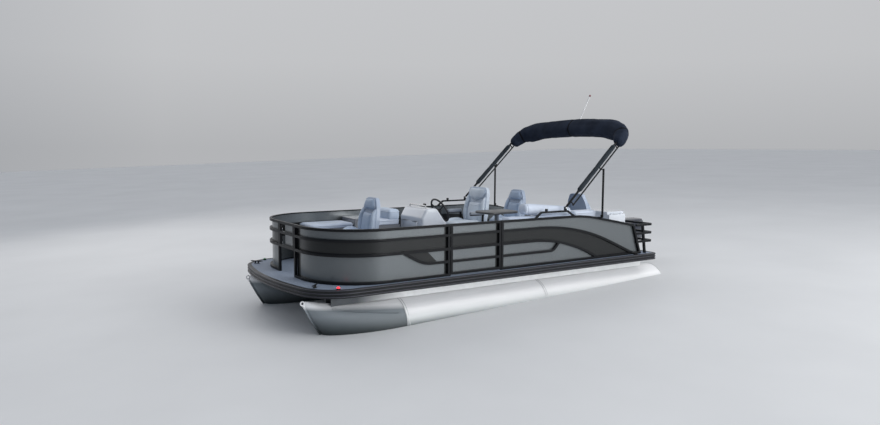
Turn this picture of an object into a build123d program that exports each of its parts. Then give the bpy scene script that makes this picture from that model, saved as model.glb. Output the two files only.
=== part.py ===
from build123d import *
import math
import os

# A pontoon boat: two tubes under a flat deck, a panelled fence with gates, seats, a helm,
# a folded canopy frame and an outboard motor. Millimetres, bow along +X, port along +Y, +Z up.
# The origin is on the floor that the keels stand on, at the middle of the boat's length.

# Hull
stern_x = -2285.0            # the deck's stern edge, from the origin
tube_diameter = 635.0
tube_spacing = 1870.0        # centre to centre
tube_tail = 330.0            # how far the tubes run aft of the deck
tail_cone = 110.0
nose_start = 4410.0          # where the tube ends and the nose cone begins, from the stern edge
nose_tip = 5560.0
nose_rise = 32.0             # the nose's tip over the tube's top
keel_height = 28.0
keel_width = 44.0
seam_height = 3.0
stem_thick = 12.0            # bar down the front of each nose, with its mooring eye
eye_rise = 56.0              # the eye's centre over the tube's top
eye_reach = 34.0             # and forward of the nose's tip
eye_radius = 34.0
eye_hole = 14.0

# Deck
deck_length = 5700.0
deck_beam = 2590.0
bow_radius = 500.0           # the bow's corners
bow_arc = 4200.0             # the bow's edge between them
stern_radius = 90.0
deck_thickness = 22.0
beam_height = 68.0           # cross members under the deck
beam_width = 44.0
beam_wall = 4.0
beam_pitch = 400.0
beam_count = 14
first_beam = 110.0
riser_height = 138.0         # from the tube's top to the cross members
riser_width = 150.0
riser_wall = 6.0
trim_height = 93.0
trim_depth = 16.0
trim_wall = 6.0
trim_lip = 34.0
trim_lip_height = 3.0
seat_gap = 0.3               # between pieces that are bedded on each other

# Fence
fence_front = 5410.0         # outer face of the bow rails, from the stern edge
fence_half = 1195.0          # outer face of the side rails
fence_radius = 750.0
rail_size = 32.0
sheet = 3.0
top_rail = 628.0             # rail centres over the deck
second_rail = 505.0
third_rail = 337.0
fourth_rail = 180.0
foot_rail = 17.0
gate_front = 3763.0          # port gate, front and back faces of its posts
gate_back = 2975.0
gate_gap = 8.0
leaf_long = 26.0             # hinge leaves, from the pin
inset_gap = 38.0             # open strip between a panel and its end post
bow_gate_half = 240.0
bow_gap = 100.0
starboard_joint = 3363.0
hinge_radius = 8.0
hinge_pin = 4.0
hinge_height = 60.0

# Heights that follow
tube_radius = tube_diameter / 2
tube_z = keel_height - 2.0 + tube_radius
tube_top = tube_z + tube_radius
beam_z = tube_top + riser_height
deck_z = beam_z + beam_height
deck_top = deck_z + deck_thickness
tube_y = tube_spacing / 2
half_beam = deck_beam / 2


def fwd(distance):
    return stern_x + distance


def up(height):
    return deck_top + height


os.makedirs("parts", exist_ok=True)


# A bar of rectangular section along a bent line in one plane.
def bent_bar(points, radii, across, height, x_dir):
    with BuildLine(mode=Mode.PRIVATE) as path:
        if len(points) > 2:
            FilletPolyline(*points, radius=radii)
        else:
            Line(*points)
    start = Plane(origin=path.line @ 0, x_dir=x_dir, z_dir=path.line % 0)
    with BuildSketch(start, mode=Mode.PRIVATE) as section:
        Rectangle(across, height)
    sweep(sections=section.sketch, path=path.line)


# A round bar along a bent line.
def bent_rod(points, radii, radius):
    with BuildLine(mode=Mode.PRIVATE) as path:
        if len(points) > 2:
            FilletPolyline(*points, radius=radii)
        else:
            Line(*points)
    with BuildSketch(Plane(origin=path.line @ 0, z_dir=path.line % 0), mode=Mode.PRIVATE) as section:
        Circle(radius)
    sweep(sections=section.sketch, path=path.line)


# A box between two opposite corners.
def block(x0, x1, y0, y1, z0, z1, mode=Mode.ADD):
    with Locations(((x0 + x1) / 2, (y0 + y1) / 2, (z0 + z1) / 2)):
        Box(x1 - x0, y1 - y0, z1 - z0, mode=mode)


# The deck's outline, drawn smaller all round by an inset, as a slab from z0 to z1.
def deck_slab(inset, z0, z1, mode=Mode.ADD):
    half = half_beam - inset
    front = deck_length - inset
    arc = bow_arc - inset
    corner = front - arc + math.sqrt(arc**2 - half**2)
    with BuildSketch(Plane.XY.offset(z0), mode=Mode.PRIVATE) as outline:
        with BuildLine():
            bow = ThreePointArc((fwd(corner), -half), (fwd(front), 0), (fwd(corner), half))
            Polyline(bow @ 1, (fwd(inset), half), (fwd(inset), -half), bow @ 0)
        make_face()
        fillet(outline.vertices().group_by(Axis.X)[-1], bow_radius - inset)
        fillet(outline.vertices().group_by(Axis.X)[0], stern_radius - inset)
    extrude(outline.sketch, amount=z1 - z0, mode=mode)


# Tubes. The nose is a loft through upright sections: distance forward, half width, bottom, top.
nose_sections = [
    # forward, half width, bottom, top (bottom and top are from the tube's centre, in radii)
    (0.0, 1.00, -1.00, 1.00),
    (0.30, 0.93, -0.95, 1.00),
    (0.58, 0.70, -0.72, 1.00),
    (0.82, 0.36, -0.30, 1.13),
    (1.00, 0.035, 0.62, 1.25),
]
# The stem bar's front edge, from the nose's tip and the tube's centre.
stem_line = [(60, 360), (30, 230), (-82, 20), (-190, -108), (-330, -190), (-470, -243), (-470, -150)]


with BuildPart() as tube_port:
    tail_x = fwd(-tube_tail + tail_cone)
    with Locations(Plane.YZ.offset(tail_x)):
        with Locations((tube_y, tube_z)):
            Cylinder(
                tube_radius,
                fwd(nose_start) - tail_x,
                align=(Align.CENTER, Align.CENTER, Align.MIN),
            )
    with BuildSketch(Plane.YZ.offset(tail_x)) as tail_root:
        with Locations((tube_y, tube_z)):
            Circle(tube_radius)
    with BuildSketch(Plane.YZ.offset(fwd(-tube_tail))) as tail_end:
        with Locations((tube_y, tube_z + tube_radius * 0.12)):
            Circle(tube_radius * 0.62)
    loft()
    for share, wide, low, high in nose_sections:
        station = fwd(nose_start + share * (nose_tip - nose_start))
        with BuildSketch(Plane.YZ.offset(station)):
            with Locations((tube_y, tube_z + tube_radius * (high + low) / 2)):
                Ellipse(tube_radius * wide, tube_radius * (high - low) / 2)
    loft()
    # welded seams: low bands round the tube
    for seam in (nose_start - 30, 2180):
        with Locations(Plane.YZ.offset(fwd(seam))):
            with Locations((tube_y, tube_z)):
                Cylinder(
                    tube_radius + seam_height,
                    30,
                    align=(Align.CENTER, Align.CENTER, Align.MIN),
                )
    # keel strip under the tube
    block(fwd(-tube_tail + 160), fwd(nose_start + 250),
          tube_y - keel_width / 2, tube_y + keel_width / 2, 0, keel_height + 12)
    # stem bar with the mooring eye at its head
    eye_x = fwd(nose_tip + eye_reach)
    eye_z = tube_top + eye_rise
    with BuildSketch(Plane.XZ.offset(-tube_y)):
        with BuildLine():
            Polyline(
                *[(fwd(nose_tip + x), tube_z + z) for x, z in stem_line],
                (fwd(nose_tip - 200), tube_z),
                (fwd(nose_tip - 60), tube_top - 60),
                (fwd(nose_tip - 12), eye_z - 10),
                (eye_x - eye_radius * 0.7, eye_z + eye_radius * 0.7),
                (eye_x, eye_z),
                close=True,
            )
        make_face()
        with Locations((eye_x, eye_z)):
            Circle(eye_radius)
            Circle(eye_hole, mode=Mode.SUBTRACT)
    extrude(amount=stem_thick / 2, both=True)
tube_port.part.label = "tube_port"
export_step(tube_port.part, "parts/tube_port.step")

with BuildPart() as tube_starboard:
    mirror(tube_port.part, about=Plane.XZ)
tube_starboard.part.label = "tube_starboard"
export_step(tube_starboard.part, "parts/tube_starboard.step")

# Full-length risers that carry the cross members on the tubes.
with BuildPart() as risers:
    web_x0 = fwd(60)
    web_x1 = fwd(deck_length - 420)
    foot_z = tube_z + math.sqrt(tube_radius**2 - (riser_width / 2) ** 2)
    for side in (1, -1):
        y0 = side * tube_y
        for edge in (-1, 1):
            web_y = y0 + edge * (riser_width / 2 - riser_wall / 2)
            block(web_x0, web_x1, web_y - riser_wall / 2, web_y + riser_wall / 2,
                  foot_z + seam_height + 3, beam_z - riser_wall)
        block(web_x0, web_x1, y0 - riser_width / 2 - 18, y0 + riser_width / 2 + 18,
              beam_z - riser_wall, beam_z)
        # feet welded to the tube, under the webs
        for number in range(beam_count - 3):
            foot_x = fwd(first_beam + number * beam_pitch)
            for edge in (-1, 1):
                web_y = y0 + edge * (riser_width / 2 - riser_wall / 2)
                block(foot_x, foot_x + beam_width, web_y - riser_wall, web_y + riser_wall,
                      foot_z + 2.8, foot_z + 30)
    # the webs' fronts follow the rising noses
    for tube in (tube_port, tube_starboard):
        add(tube.part.moved(Location((0, 0, seat_gap))), mode=Mode.SUBTRACT)
risers.part.label = "risers"
export_step(risers.part, "parts/risers.step")

# Cross members: channels across the boat, one every pitch.
with BuildPart() as cross_members:
    for number in range(beam_count):
        beam_x = fwd(first_beam + number * beam_pitch)
        reach = half_beam - trim_depth - 12
        if beam_x > fwd(deck_length - bow_radius):
            reach = half_beam - 300
        block(beam_x, beam_x + beam_wall, -reach, reach, beam_z, deck_z)
        block(beam_x, beam_x + beam_width, -reach, reach, beam_z, beam_z + beam_wall)
        block(beam_x, beam_x + beam_width, -reach, reach, deck_z - beam_wall, deck_z)
cross_members.part.label = "cross_members"
export_step(cross_members.part, "parts/cross_members.step")

# Deck board.
with BuildPart() as deck:
    deck_slab(trim_depth + seat_gap, deck_z, deck_top)
deck.part.label = "deck"
export_step(deck.part, "parts/deck.step")

# Rub rail round the deck: a wall with three ribs and a lip over the board.
rib_height = 20.0
rib_gap = (trim_height - 3 * rib_height) / 2
with BuildPart() as deck_trim:
    trim_z = deck_top - trim_height
    deck_slab(trim_depth - trim_wall, trim_z, deck_top + trim_lip_height)
    for rib in range(3):
        rib_z = trim_z + rib * (rib_height + rib_gap)
        deck_slab(0, rib_z, rib_z + rib_height)
    deck_slab(trim_depth, trim_z - 1, deck_top + seat_gap, mode=Mode.SUBTRACT)
    deck_slab(trim_depth + trim_lip, deck_top, deck_top + trim_lip_height + 1, mode=Mode.SUBTRACT)
deck_trim.part.label = "deck_trim"
export_step(deck_trim.part, "parts/deck_trim.step")

# Motor pod between the tubes, with its transom.
pod_half = 250.0
pod_front = 900.0
transom_x = -430.0
transom_thick = 45.0
transom_top = 810.0
pod_floor = 330.0
pod_top = 715.0
with BuildPart() as motor_pod:
    with BuildSketch(Plane.XZ.offset(-pod_half)):
        with BuildLine():
            Polyline(
                (fwd(transom_x), pod_floor),
                (fwd(pod_front - 350), pod_floor),
                (fwd(pod_front), pod_top - 120),
                (fwd(pod_front), beam_z),
                (fwd(40), beam_z),
                (fwd(40), pod_top),
                (fwd(transom_x + transom_thick), pod_top),
                (fwd(transom_x + transom_thick), transom_top),
                (fwd(transom_x), transom_top),
                close=True,
            )
        make_face()
    extrude(amount=2 * pod_half)
motor_pod.part.label = "motor_pod"
export_step(motor_pod.part, "parts/motor_pod.step")

# Navigation lights on the deck, placed from the centre of each bow corner's arc.
corner_x = deck_length - bow_arc + math.sqrt((bow_arc - bow_radius)**2 - (half_beam - bow_radius)**2)
light_x = corner_x + 156.418
light_y = half_beam - bow_radius + 392.0
light_base = (24.0, 14.0)
light_lens = (19.0, 16.0)
for side, piece in ((1, "nav_light_port"), (-1, "nav_light_starboard")):
    with BuildPart() as nav_light:
        with Locations((fwd(light_x), side * light_y, up(seat_gap))):
            Cylinder(*light_base, align=(Align.CENTER, Align.CENTER, Align.MIN))
        with Locations((fwd(light_x), side * light_y, up(light_base[1]))):
            Cylinder(*light_lens, align=(Align.CENTER, Align.CENTER, Align.MIN))
        fillet(nav_light.faces().sort_by(Axis.Z)[-1].edges(), 10)
    nav_light.part.label = piece
    export_step(nav_light.part, f"parts/{piece}.step")

# Mooring cleats: a foot and a bar, near the corners of the deck.
cleat_foot = (70.0, 22.0, 30.0)
cleat_bar = (170.0, 18.0, 14.0)
cleats = [
    # forward, to port, turn of the bar
    (5455, half_beam - 325, 45),
    (5455, 325 - half_beam, -45),
    (420, half_beam - 73, 0),
    (420, 73 - half_beam, 0),
]
with BuildPart() as deck_cleats:
    for cleat_x, cleat_y, turn in cleats:
        with Locations(Location((fwd(cleat_x), cleat_y, up(seat_gap)), (0, 0, turn))):
            Box(*cleat_foot, align=(Align.CENTER, Align.CENTER, Align.MIN))
            with Locations((0, 0, cleat_foot[2] - 3)):
                Box(*cleat_bar, align=(Align.CENTER, Align.CENTER, Align.MIN))
deck_cleats.part.label = "deck_cleats"
export_step(deck_cleats.part, "parts/deck_cleats.step")


# Fence. The bow section is drawn in plan: from the bow gate round the corner and aft.
def fence_ring(outer, inner, x0, x1, y0, z0, z1, mode=Mode.ADD):
    back = fwd(-2000)
    with BuildSketch(Plane.XY.offset(z0), mode=Mode.PRIVATE) as ring:
        for inset, how in ((outer, Mode.ADD), (inner, Mode.SUBTRACT)):
            front = fwd(fence_front) - inset
            with Locations(((front + back) / 2, 0)):
                RectangleRounded(front - back, 2 * (fence_half - inset), fence_radius - inset, mode=how)
        with Locations(((fwd(x0) + fwd(x1)) / 2, y0 + fence_half / 2)):
            Rectangle(x1 - x0, fence_half, mode=Mode.INTERSECT)
    extrude(ring.sketch, amount=z1 - z0, mode=mode)


rail_heights = (top_rail, second_rail, third_rail, foot_rail)
half_rail = rail_size / 2
side_y = fence_half - half_rail             # centre line of the side rails
sheet_outer = rail_size + seat_gap          # inset of the panels' outer face
sheet_inner = sheet_outer + sheet


def bow_rails(x_end):
    for height in rail_heights:
        fence_ring(0, rail_size, x_end, fence_front + 1, bow_gate_half + 5,
                   up(height) - half_rail, up(height) + half_rail)


def post(x, y, top=top_rail, foot=0.0):
    block(x - half_rail, x + half_rail, y - half_rail, y + half_rail, up(foot), up(top))


scoop = [
    # forward, over the deck: the bent rail that rises from the fourth rail to the third
    (3781, fourth_rail),
    (4140, fourth_rail),
    (4440, third_rail + 6),
]
scoop_bend = 420.0
with BuildPart() as fence_frame_port_bow:
    bow_rails(gate_front)
    front_y = bow_gate_half + 5 + half_rail
    post(fwd(fence_front) - half_rail, front_y)
    post(fwd(gate_front) + gate_gap + half_rail, side_y)
    bent_bar([(fwd(x), side_y, up(h)) for x, h in scoop], scoop_bend, rail_size, rail_size, (0, 1, 0))
fence_frame_port_bow.part.label = "fence_frame_port_bow"
export_step(fence_frame_port_bow.part, "parts/fence_frame_port_bow.step")

with BuildPart() as fence_frame_starboard_bow:
    bow_rails(starboard_joint)
    post(fwd(fence_front) - half_rail, front_y)
    post(fwd(starboard_joint) + half_rail, side_y)
    bent_bar([(fwd(x), side_y, up(h)) for x, h in scoop], scoop_bend, rail_size, rail_size, (0, 1, 0))
    block(fwd(starboard_joint), fwd(scoop[0][0]), side_y - half_rail, fence_half,
          up(fourth_rail) - half_rail, up(fourth_rail) + half_rail)
    mirror(about=Plane.XZ, mode=Mode.REPLACE)
fence_frame_starboard_bow.part.label = "fence_frame_starboard_bow"
export_step(fence_frame_starboard_bow.part, "parts/fence_frame_starboard_bow.step")

# Aft sections. Their rails lie in an upright plane and sweep down towards the stern.
stern_outer = 4.0                         # outer face of the stern rails, from the stern edge
stern_line = stern_outer + half_rail
aft_front = gate_back - gate_gap
top_sweep = [(1450, top_rail), (440, 436.0)]
second_sweep = [(1600, second_rail), (400, 2.0)]
third_sweep = [(1782, third_rail), (1190, 14.5)]
fourth_turn = [(2060, fourth_rail), (1950, 290.0)]
sweep_bends = (2700.0, 3450.0, 2600.0, 120.0)
corner_rails = (430.0, 305.0, 180.0)
corner_bend = 50.0
stern_gate_port = -392.0
stern_gate_starboard = -958.0
stern_post_y = 360.0


def aft_section(front, last_y, posts_y):
    sweeps = (
        (top_rail, top_sweep),
        (second_rail, second_sweep),
        (third_rail, third_sweep),
        (fourth_rail, fourth_turn),
    )
    for (height, turns), bend in zip(sweeps, sweep_bends):
        points = [(fwd(front), side_y, up(height))]
        points += [(fwd(x), side_y, up(h)) for x, h in turns]
        bent_bar(points, bend, rail_size, rail_size, (0, 1, 0))
    block(fwd(275), fwd(front), side_y - half_rail, fence_half, up(foot_rail) - half_rail,
          up(foot_rail) + half_rail)
    post(fwd(front) - half_rail, side_y)
    # leaning posts at the stern corner
    for foot_x, head_x in ((287, 446), (172, 236)):
        bent_bar([(fwd(foot_x), side_y, up(0)), (fwd(head_x), side_y, up(corner_rails[0]))],
                 None, rail_size, rail_size, (0, 1, 0))
    for height in corner_rails:
        bent_bar(
            [(fwd(380), side_y, up(height)), (fwd(stern_line), side_y, up(height)),
             (fwd(stern_line), last_y, up(height))],
            corner_bend, rail_size, rail_size, (0, 0, 1))
    for y in posts_y:
        post(fwd(stern_line), y, top=corner_rails[0] + half_rail, foot=trim_lip_height)
    # the leaning posts are cut level on the deck
    block(fwd(-50), fwd(500), side_y - 60, side_y + 60, up(-60), up(0), mode=Mode.SUBTRACT)


with BuildPart() as fence_frame_port_aft:
    aft_section(aft_front, stern_gate_port, (stern_gate_port + half_rail, stern_post_y))
fence_frame_port_aft.part.label = "fence_frame_port_aft"
export_step(fence_frame_port_aft.part, "parts/fence_frame_port_aft.step")

with BuildPart() as fence_frame_starboard_aft:
    aft_section(starboard_joint - seat_gap, -stern_gate_starboard, (-stern_gate_starboard + half_rail,))
    mirror(about=Plane.XZ, mode=Mode.REPLACE)
fence_frame_starboard_aft.part.label = "fence_frame_starboard_aft"
export_step(fence_frame_starboard_aft.part, "parts/fence_frame_starboard_aft.step")


# Sheets behind the rails. The dark band is a second colour of sheet, let into the first.
def side_sheet(outline, mode=Mode.ADD):
    with BuildSketch(Plane.XZ.offset(-(fence_half - sheet_outer)), mode=Mode.PRIVATE) as face:
        with BuildLine():
            outline()
        make_face()
    extrude(face.sketch, amount=sheet, mode=mode)


def aft_panel_line(front):
    top = FilletPolyline(
        (fwd(front), up(top_rail)), *[(fwd(x), up(h)) for x, h in top_sweep], radius=sweep_bends[0])
    Polyline(top @ 1, (fwd(280), up(foot_rail)), (fwd(front), up(foot_rail)), top @ 0)


def aft_band_line(front):
    upper = FilletPolyline(
        (fwd(front), up(second_rail)), *[(fwd(x), up(h)) for x, h in second_sweep],
        radius=sweep_bends[1])
    lower = FilletPolyline(
        (fwd(front), up(third_rail)), *[(fwd(x), up(h)) for x, h in third_sweep],
        radius=sweep_bends[2])
    Line(upper @ 0, lower @ 0)
    Line(upper @ 1, lower @ 1)


def scoop_line():
    bend = FilletPolyline(*[(fwd(x), up(h)) for x, h in scoop], radius=scoop_bend)
    Polyline(bend @ 1, (fwd(4095), up(third_rail)), (fwd(3935), up(fourth_rail)), bend @ 0)


panel_low = foot_rail
starboard_panel_y = bow_gate_half + 5 + rail_size + 1


# The dark band of one side: round the bow, along the aft section, and the scoop below it.
def dark_band(x_end, y_end, aft, mode):
    fence_ring(sheet_outer, sheet_inner, x_end, fence_front, y_end, up(third_rail), up(second_rail),
               mode=mode)
    side_sheet(lambda: aft_band_line(aft), mode=mode)
    side_sheet(scoop_line, mode=mode)


bow_panel_y = 380.0
bow_panel_end = gate_front + gate_gap + rail_size + inset_gap
with BuildPart() as fence_panels_port:
    fence_ring(sheet_outer, sheet_inner, bow_panel_end, fence_front, bow_panel_y,
               up(panel_low), up(top_rail))
    side_sheet(lambda: aft_panel_line(aft_front - 6))
    dark_band(bow_panel_end, bow_panel_y, aft_front - 6, Mode.SUBTRACT)
fence_panels_port.part.label = "fence_panels_port"
export_step(fence_panels_port.part, "parts/fence_panels_port.step")

with BuildPart() as fence_panels_starboard:
    fence_ring(sheet_outer, sheet_inner, starboard_joint + 1, fence_front, starboard_panel_y,
               up(panel_low), up(top_rail))
    side_sheet(lambda: aft_panel_line(starboard_joint - 1))
    dark_band(starboard_joint + 1, starboard_panel_y, starboard_joint - 1, Mode.SUBTRACT)
    mirror(about=Plane.XZ, mode=Mode.REPLACE)
fence_panels_starboard.part.label = "fence_panels_starboard"
export_step(fence_panels_starboard.part, "parts/fence_panels_starboard.step")

with BuildPart() as fence_bands_port:
    dark_band(bow_panel_end, bow_panel_y, aft_front - 6, Mode.ADD)
    # dark strips between the sheets and the posts of the two gates
    block(fwd(gate_front + gate_gap + leaf_long + 4), fwd(bow_panel_end),
          fence_half - sheet_inner, fence_half - sheet_outer, up(panel_low), up(top_rail))
    block(fwd(fence_front) - sheet_inner, fwd(fence_front) - sheet_outer, starboard_panel_y,
          bow_panel_y, up(panel_low), up(top_rail))
fence_bands_port.part.label = "fence_bands_port"
export_step(fence_bands_port.part, "parts/fence_bands_port.step")

with BuildPart() as fence_bands_starboard:
    dark_band(starboard_joint + 1, starboard_panel_y, starboard_joint - 1, Mode.ADD)
    mirror(about=Plane.XZ, mode=Mode.REPLACE)
fence_bands_starboard.part.label = "fence_bands_starboard"
export_step(fence_bands_starboard.part, "parts/fence_bands_starboard.step")

# Gates. Each turns on two hinges whose barrels lie just inboard of the rails.
hinge_inboard = 9.0
hinge_levels = (130.0, 470.0)
knuckle = hinge_height / 2
leaf_thick = 4.0
gate_lift = 14.0


# One half of a hinge: a knuckle and a leaf that reaches along X or Y to its post.
def hinge_half(x, y, z, leaf_x, leaf_y, face_x, face_y, moving):
    low = z + (knuckle + 1 if moving else 0)
    high = z + (hinge_height if moving else knuckle)
    with Locations((x, y, low)):
        Cylinder(hinge_radius, high - low, align=(Align.CENTER, Align.CENTER, Align.MIN))
    if leaf_x:
        block(min(x, x + leaf_x), max(x, x + leaf_x), min(face_y, y), max(face_y, y), low, high)
    else:
        block(min(face_x, x), max(face_x, x), min(y, y + leaf_y), max(y, y + leaf_y), low, high)
    if moving:
        with Locations((x, y, low - 1)):
            Cylinder(hinge_pin + 0.06, high - low + 2,
                     align=(Align.CENTER, Align.CENTER, Align.MIN), mode=Mode.SUBTRACT)
    else:
        with Locations((x, y, low)):
            Cylinder(hinge_pin, hinge_height, align=(Align.CENTER, Align.CENTER, Align.MIN))


side_hinge_x = fwd(gate_front + gate_gap / 2)
side_hinge_y = fence_half - rail_size - hinge_inboard
bow_hinge_x = fwd(fence_front) - rail_size - hinge_inboard
bow_hinge_y = -bow_gate_half - 2.5
stern_hinge_x = fwd(stern_outer) + rail_size + hinge_inboard
stern_hinge_y = stern_gate_starboard + 4.0
stern_levels = (195.0, 320.0)

with BuildPart() as gate_hinges:
    for level in hinge_levels:
        hinge_half(side_hinge_x, side_hinge_y, up(level), leaf_long, 0, 0,
                   side_hinge_y + hinge_inboard, False)
        if level > 300:
            hinge_half(bow_hinge_x, bow_hinge_y, up(level - 120), 0, -leaf_long,
                       bow_hinge_x + hinge_inboard, 0, False)
            hinge_half(bow_hinge_x, bow_hinge_y, up(level + 50), 0, -leaf_long,
                       bow_hinge_x + hinge_inboard, 0, False)
    for level in stern_levels:
        hinge_half(stern_hinge_x, stern_hinge_y, up(level), 0, -leaf_long,
                   stern_hinge_x - hinge_inboard, 0, False)
gate_hinges.part.label = "gate_hinges"
export_step(gate_hinges.part, "parts/gate_hinges.step")

with BuildPart() as port_gate_frame:
    post(fwd(gate_front) - half_rail, side_y, foot=gate_lift)
    post(fwd(gate_back) + half_rail, side_y, foot=gate_lift)
    for height in (top_rail, second_rail, third_rail, fourth_rail, gate_lift + half_rail):
        block(fwd(gate_back), fwd(gate_front), side_y - half_rail, fence_half,
              up(height) - half_rail, up(height) + half_rail)
    for level in hinge_levels:
        hinge_half(side_hinge_x, side_hinge_y, up(level), -leaf_long, 0, 0,
                   side_hinge_y + hinge_inboard, True)
port_gate_frame.part.label = "port_gate_frame"
export_step(port_gate_frame.part, "parts/port_gate_frame.step")

gate_sheet_back = fwd(gate_back + rail_size + inset_gap)
gate_sheet_front = fwd(gate_front - leaf_long - 4)
gate_sheet_low = gate_lift + half_rail
with BuildPart() as port_gate_panel:
    for low, high in ((gate_sheet_low, third_rail), (second_rail, top_rail)):
        block(gate_sheet_back, gate_sheet_front, fence_half - sheet_inner, fence_half - sheet_outer,
              up(low), up(high))
port_gate_panel.part.label = "port_gate_panel"
export_step(port_gate_panel.part, "parts/port_gate_panel.step")

with BuildPart() as port_gate_band:
    block(gate_sheet_back, gate_sheet_front, fence_half - sheet_inner, fence_half - sheet_outer,
          up(third_rail), up(second_rail))
    block(fwd(gate_back + 4), gate_sheet_back, fence_half - sheet_inner, fence_half - sheet_outer,
          up(gate_sheet_low), up(top_rail))
port_gate_band.part.label = "port_gate_band"
export_step(port_gate_band.part, "parts/port_gate_band.step")

with BuildPart() as bow_gate_frame:
    gate_x = fwd(fence_front) - half_rail
    for y in (-bow_gate_half + half_rail, bow_gate_half - half_rail):
        post(gate_x, y, foot=third_rail - half_rail)
    for height in (top_rail, second_rail, third_rail):
        block(gate_x - half_rail, gate_x + half_rail, -bow_gate_half, bow_gate_half,
              up(height) - half_rail, up(height) + half_rail)
    for level in (hinge_levels[1] - 120, hinge_levels[1] + 50):
        hinge_half(bow_hinge_x, bow_hinge_y, up(level), 0, leaf_long,
                   bow_hinge_x + hinge_inboard, 0, True)
bow_gate_frame.part.label = "bow_gate_frame"
export_step(bow_gate_frame.part, "parts/bow_gate_frame.step")

with BuildPart() as bow_gate_panel:
    block(fwd(fence_front) - sheet_outer - sheet, fwd(fence_front) - sheet_outer,
          -bow_gate_half + rail_size + bow_gap, bow_gate_half - 8, up(third_rail), up(top_rail))
bow_gate_panel.part.label = "bow_gate_panel"
export_step(bow_gate_panel.part, "parts/bow_gate_panel.step")

with BuildPart() as stern_gate:
    gate_low = stern_gate_starboard + gate_gap
    gate_high = stern_gate_port - gate_gap
    for y in (gate_low + half_rail, gate_high - half_rail):
        post(fwd(stern_line), y, top=corner_rails[0], foot=gate_lift)
    for height in (*corner_rails, gate_lift + half_rail):
        block(fwd(stern_outer), fwd(stern_outer) + rail_size, gate_low, gate_high,
              up(height) - half_rail, up(height) + half_rail)
    for level in stern_levels:
        hinge_half(stern_hinge_x, stern_hinge_y, up(level), 0, leaf_long,
                   stern_hinge_x - hinge_inboard, 0, True)
stern_gate.part.label = "stern_gate"
export_step(stern_gate.part, "parts/stern_gate.step")

# Furniture along the sides: each block is back, front, starboard, port, low, high over the deck,
# and the rounding of its upright edges and of its top edges.
furniture = {
    "bench_base": [
        (3370, 4800, -1120, -690, 0, 440, 20, 0),
        (3862, 4118, -1120, -700, 400, 560, 15, 10),
    ],
    "bench_cushion": [
        (3375, 3855, -1115, -685, 440.3, 525, 40, 28),
        (3375, 3570, -1115, -685, 450, 670, 40, 45),
        (4125, 4795, -1115, -685, 440.3, 508, 60, 28),
    ],
    "lounge_base": [(1050, 2790, 600, 1105, 0, 330, 20, 0)],
    "lounge_seat": [(1060, 2780, 595, 935, 330.3, 440, 35, 30)],
    "lounge_back": [
        (1155, 1612, 935.3, 1120, 330.3, 700, 35, 45),
        (1600, 2795, 935.3, 1120, 330.3, 700, 35, 45),
    ],
}
roll = (1640.0, 2500.0, 940.0, 1105.0, 150.0)      # back, front, starboard, port, thickness
roll_high = 715.0                                  # its middle over the deck
roll_tilt = 4.3
for piece, blocks in furniture.items():
    with BuildPart() as seat:
        for x0, x1, y0, y1, z0, z1, corner, edge in blocks:
            with BuildPart(mode=Mode.PRIVATE) as cushion:
                block(fwd(x0), fwd(x1), y0, y1, up(z0), up(z1))
                fillet(cushion.edges().filter_by(Axis.Z), corner)
                if edge:
                    fillet(cushion.faces().sort_by(Axis.Z)[-1].edges(), edge)
            add(cushion.part)
        if piece == "lounge_back":
            back, front, low_y, high_y, thick = roll
            with BuildPart(mode=Mode.PRIVATE) as bolster:
                Box(front - back, high_y - low_y, thick)
                fillet(bolster.edges().filter_by(Axis.X), 60)
                fillet(bolster.faces().sort_by(Axis.X)[-1].edges(), 30)
                fillet(bolster.faces().sort_by(Axis.X)[0].edges(), 30)
            middle = (fwd((back + front) / 2), (low_y + high_y) / 2, up(roll_high))
            add(bolster.part.moved(Location(middle, (0, -roll_tilt, 0))))
    seat.part.label = piece
    export_step(seat.part, f"parts/{piece}.step")

# Helm console with a sloping dash, the wheel and its column.
helm_y = -560.0
console_half = 320.0
wheel_x = 2755.0
wheel_up = 630.0
wheel_radius = 190.0
wheel_lean = 28.0
wheel_rim = 14.0
console_profile = [
    # forward, over the deck
    (2830, 0), (2830, 470), (2880, 520), (3010, 690), (3190, 690), (3270, 560), (3290, 0),
]
with BuildPart() as console:
    with BuildSketch(Plane.XZ.offset(-(helm_y + console_half))):
        with BuildLine():
            Polyline(*[(fwd(x), up(h)) for x, h in console_profile], close=True)
        make_face()
    extrude(amount=2 * console_half)
    fillet(console.edges().filter_by(Axis.Y).filter_by_position(Axis.Z, up(600), up(760)), 40)
wheel_axis = Vector(-math.cos(math.radians(wheel_lean)), 0, math.sin(math.radians(wheel_lean)))
wheel_centre = Vector(fwd(wheel_x), helm_y, up(wheel_up))
wheel_plane = Plane(origin=wheel_centre, x_dir=(0, 1, 0), z_dir=wheel_axis)
with BuildPart() as helm_column:
    with Locations(wheel_plane.offset(-200)):
        Cylinder(30, 168, align=(Align.CENTER, Align.CENTER, Align.MIN))
        Cylinder(9, 198, align=(Align.CENTER, Align.CENTER, Align.MIN))
    add(console.part, mode=Mode.SUBTRACT)
helm_column.part.label = "helm_column"
console.part.label = "console"
export_step(console.part, "parts/console.step")
export_step(helm_column.part, "parts/helm_column.step")

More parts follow.
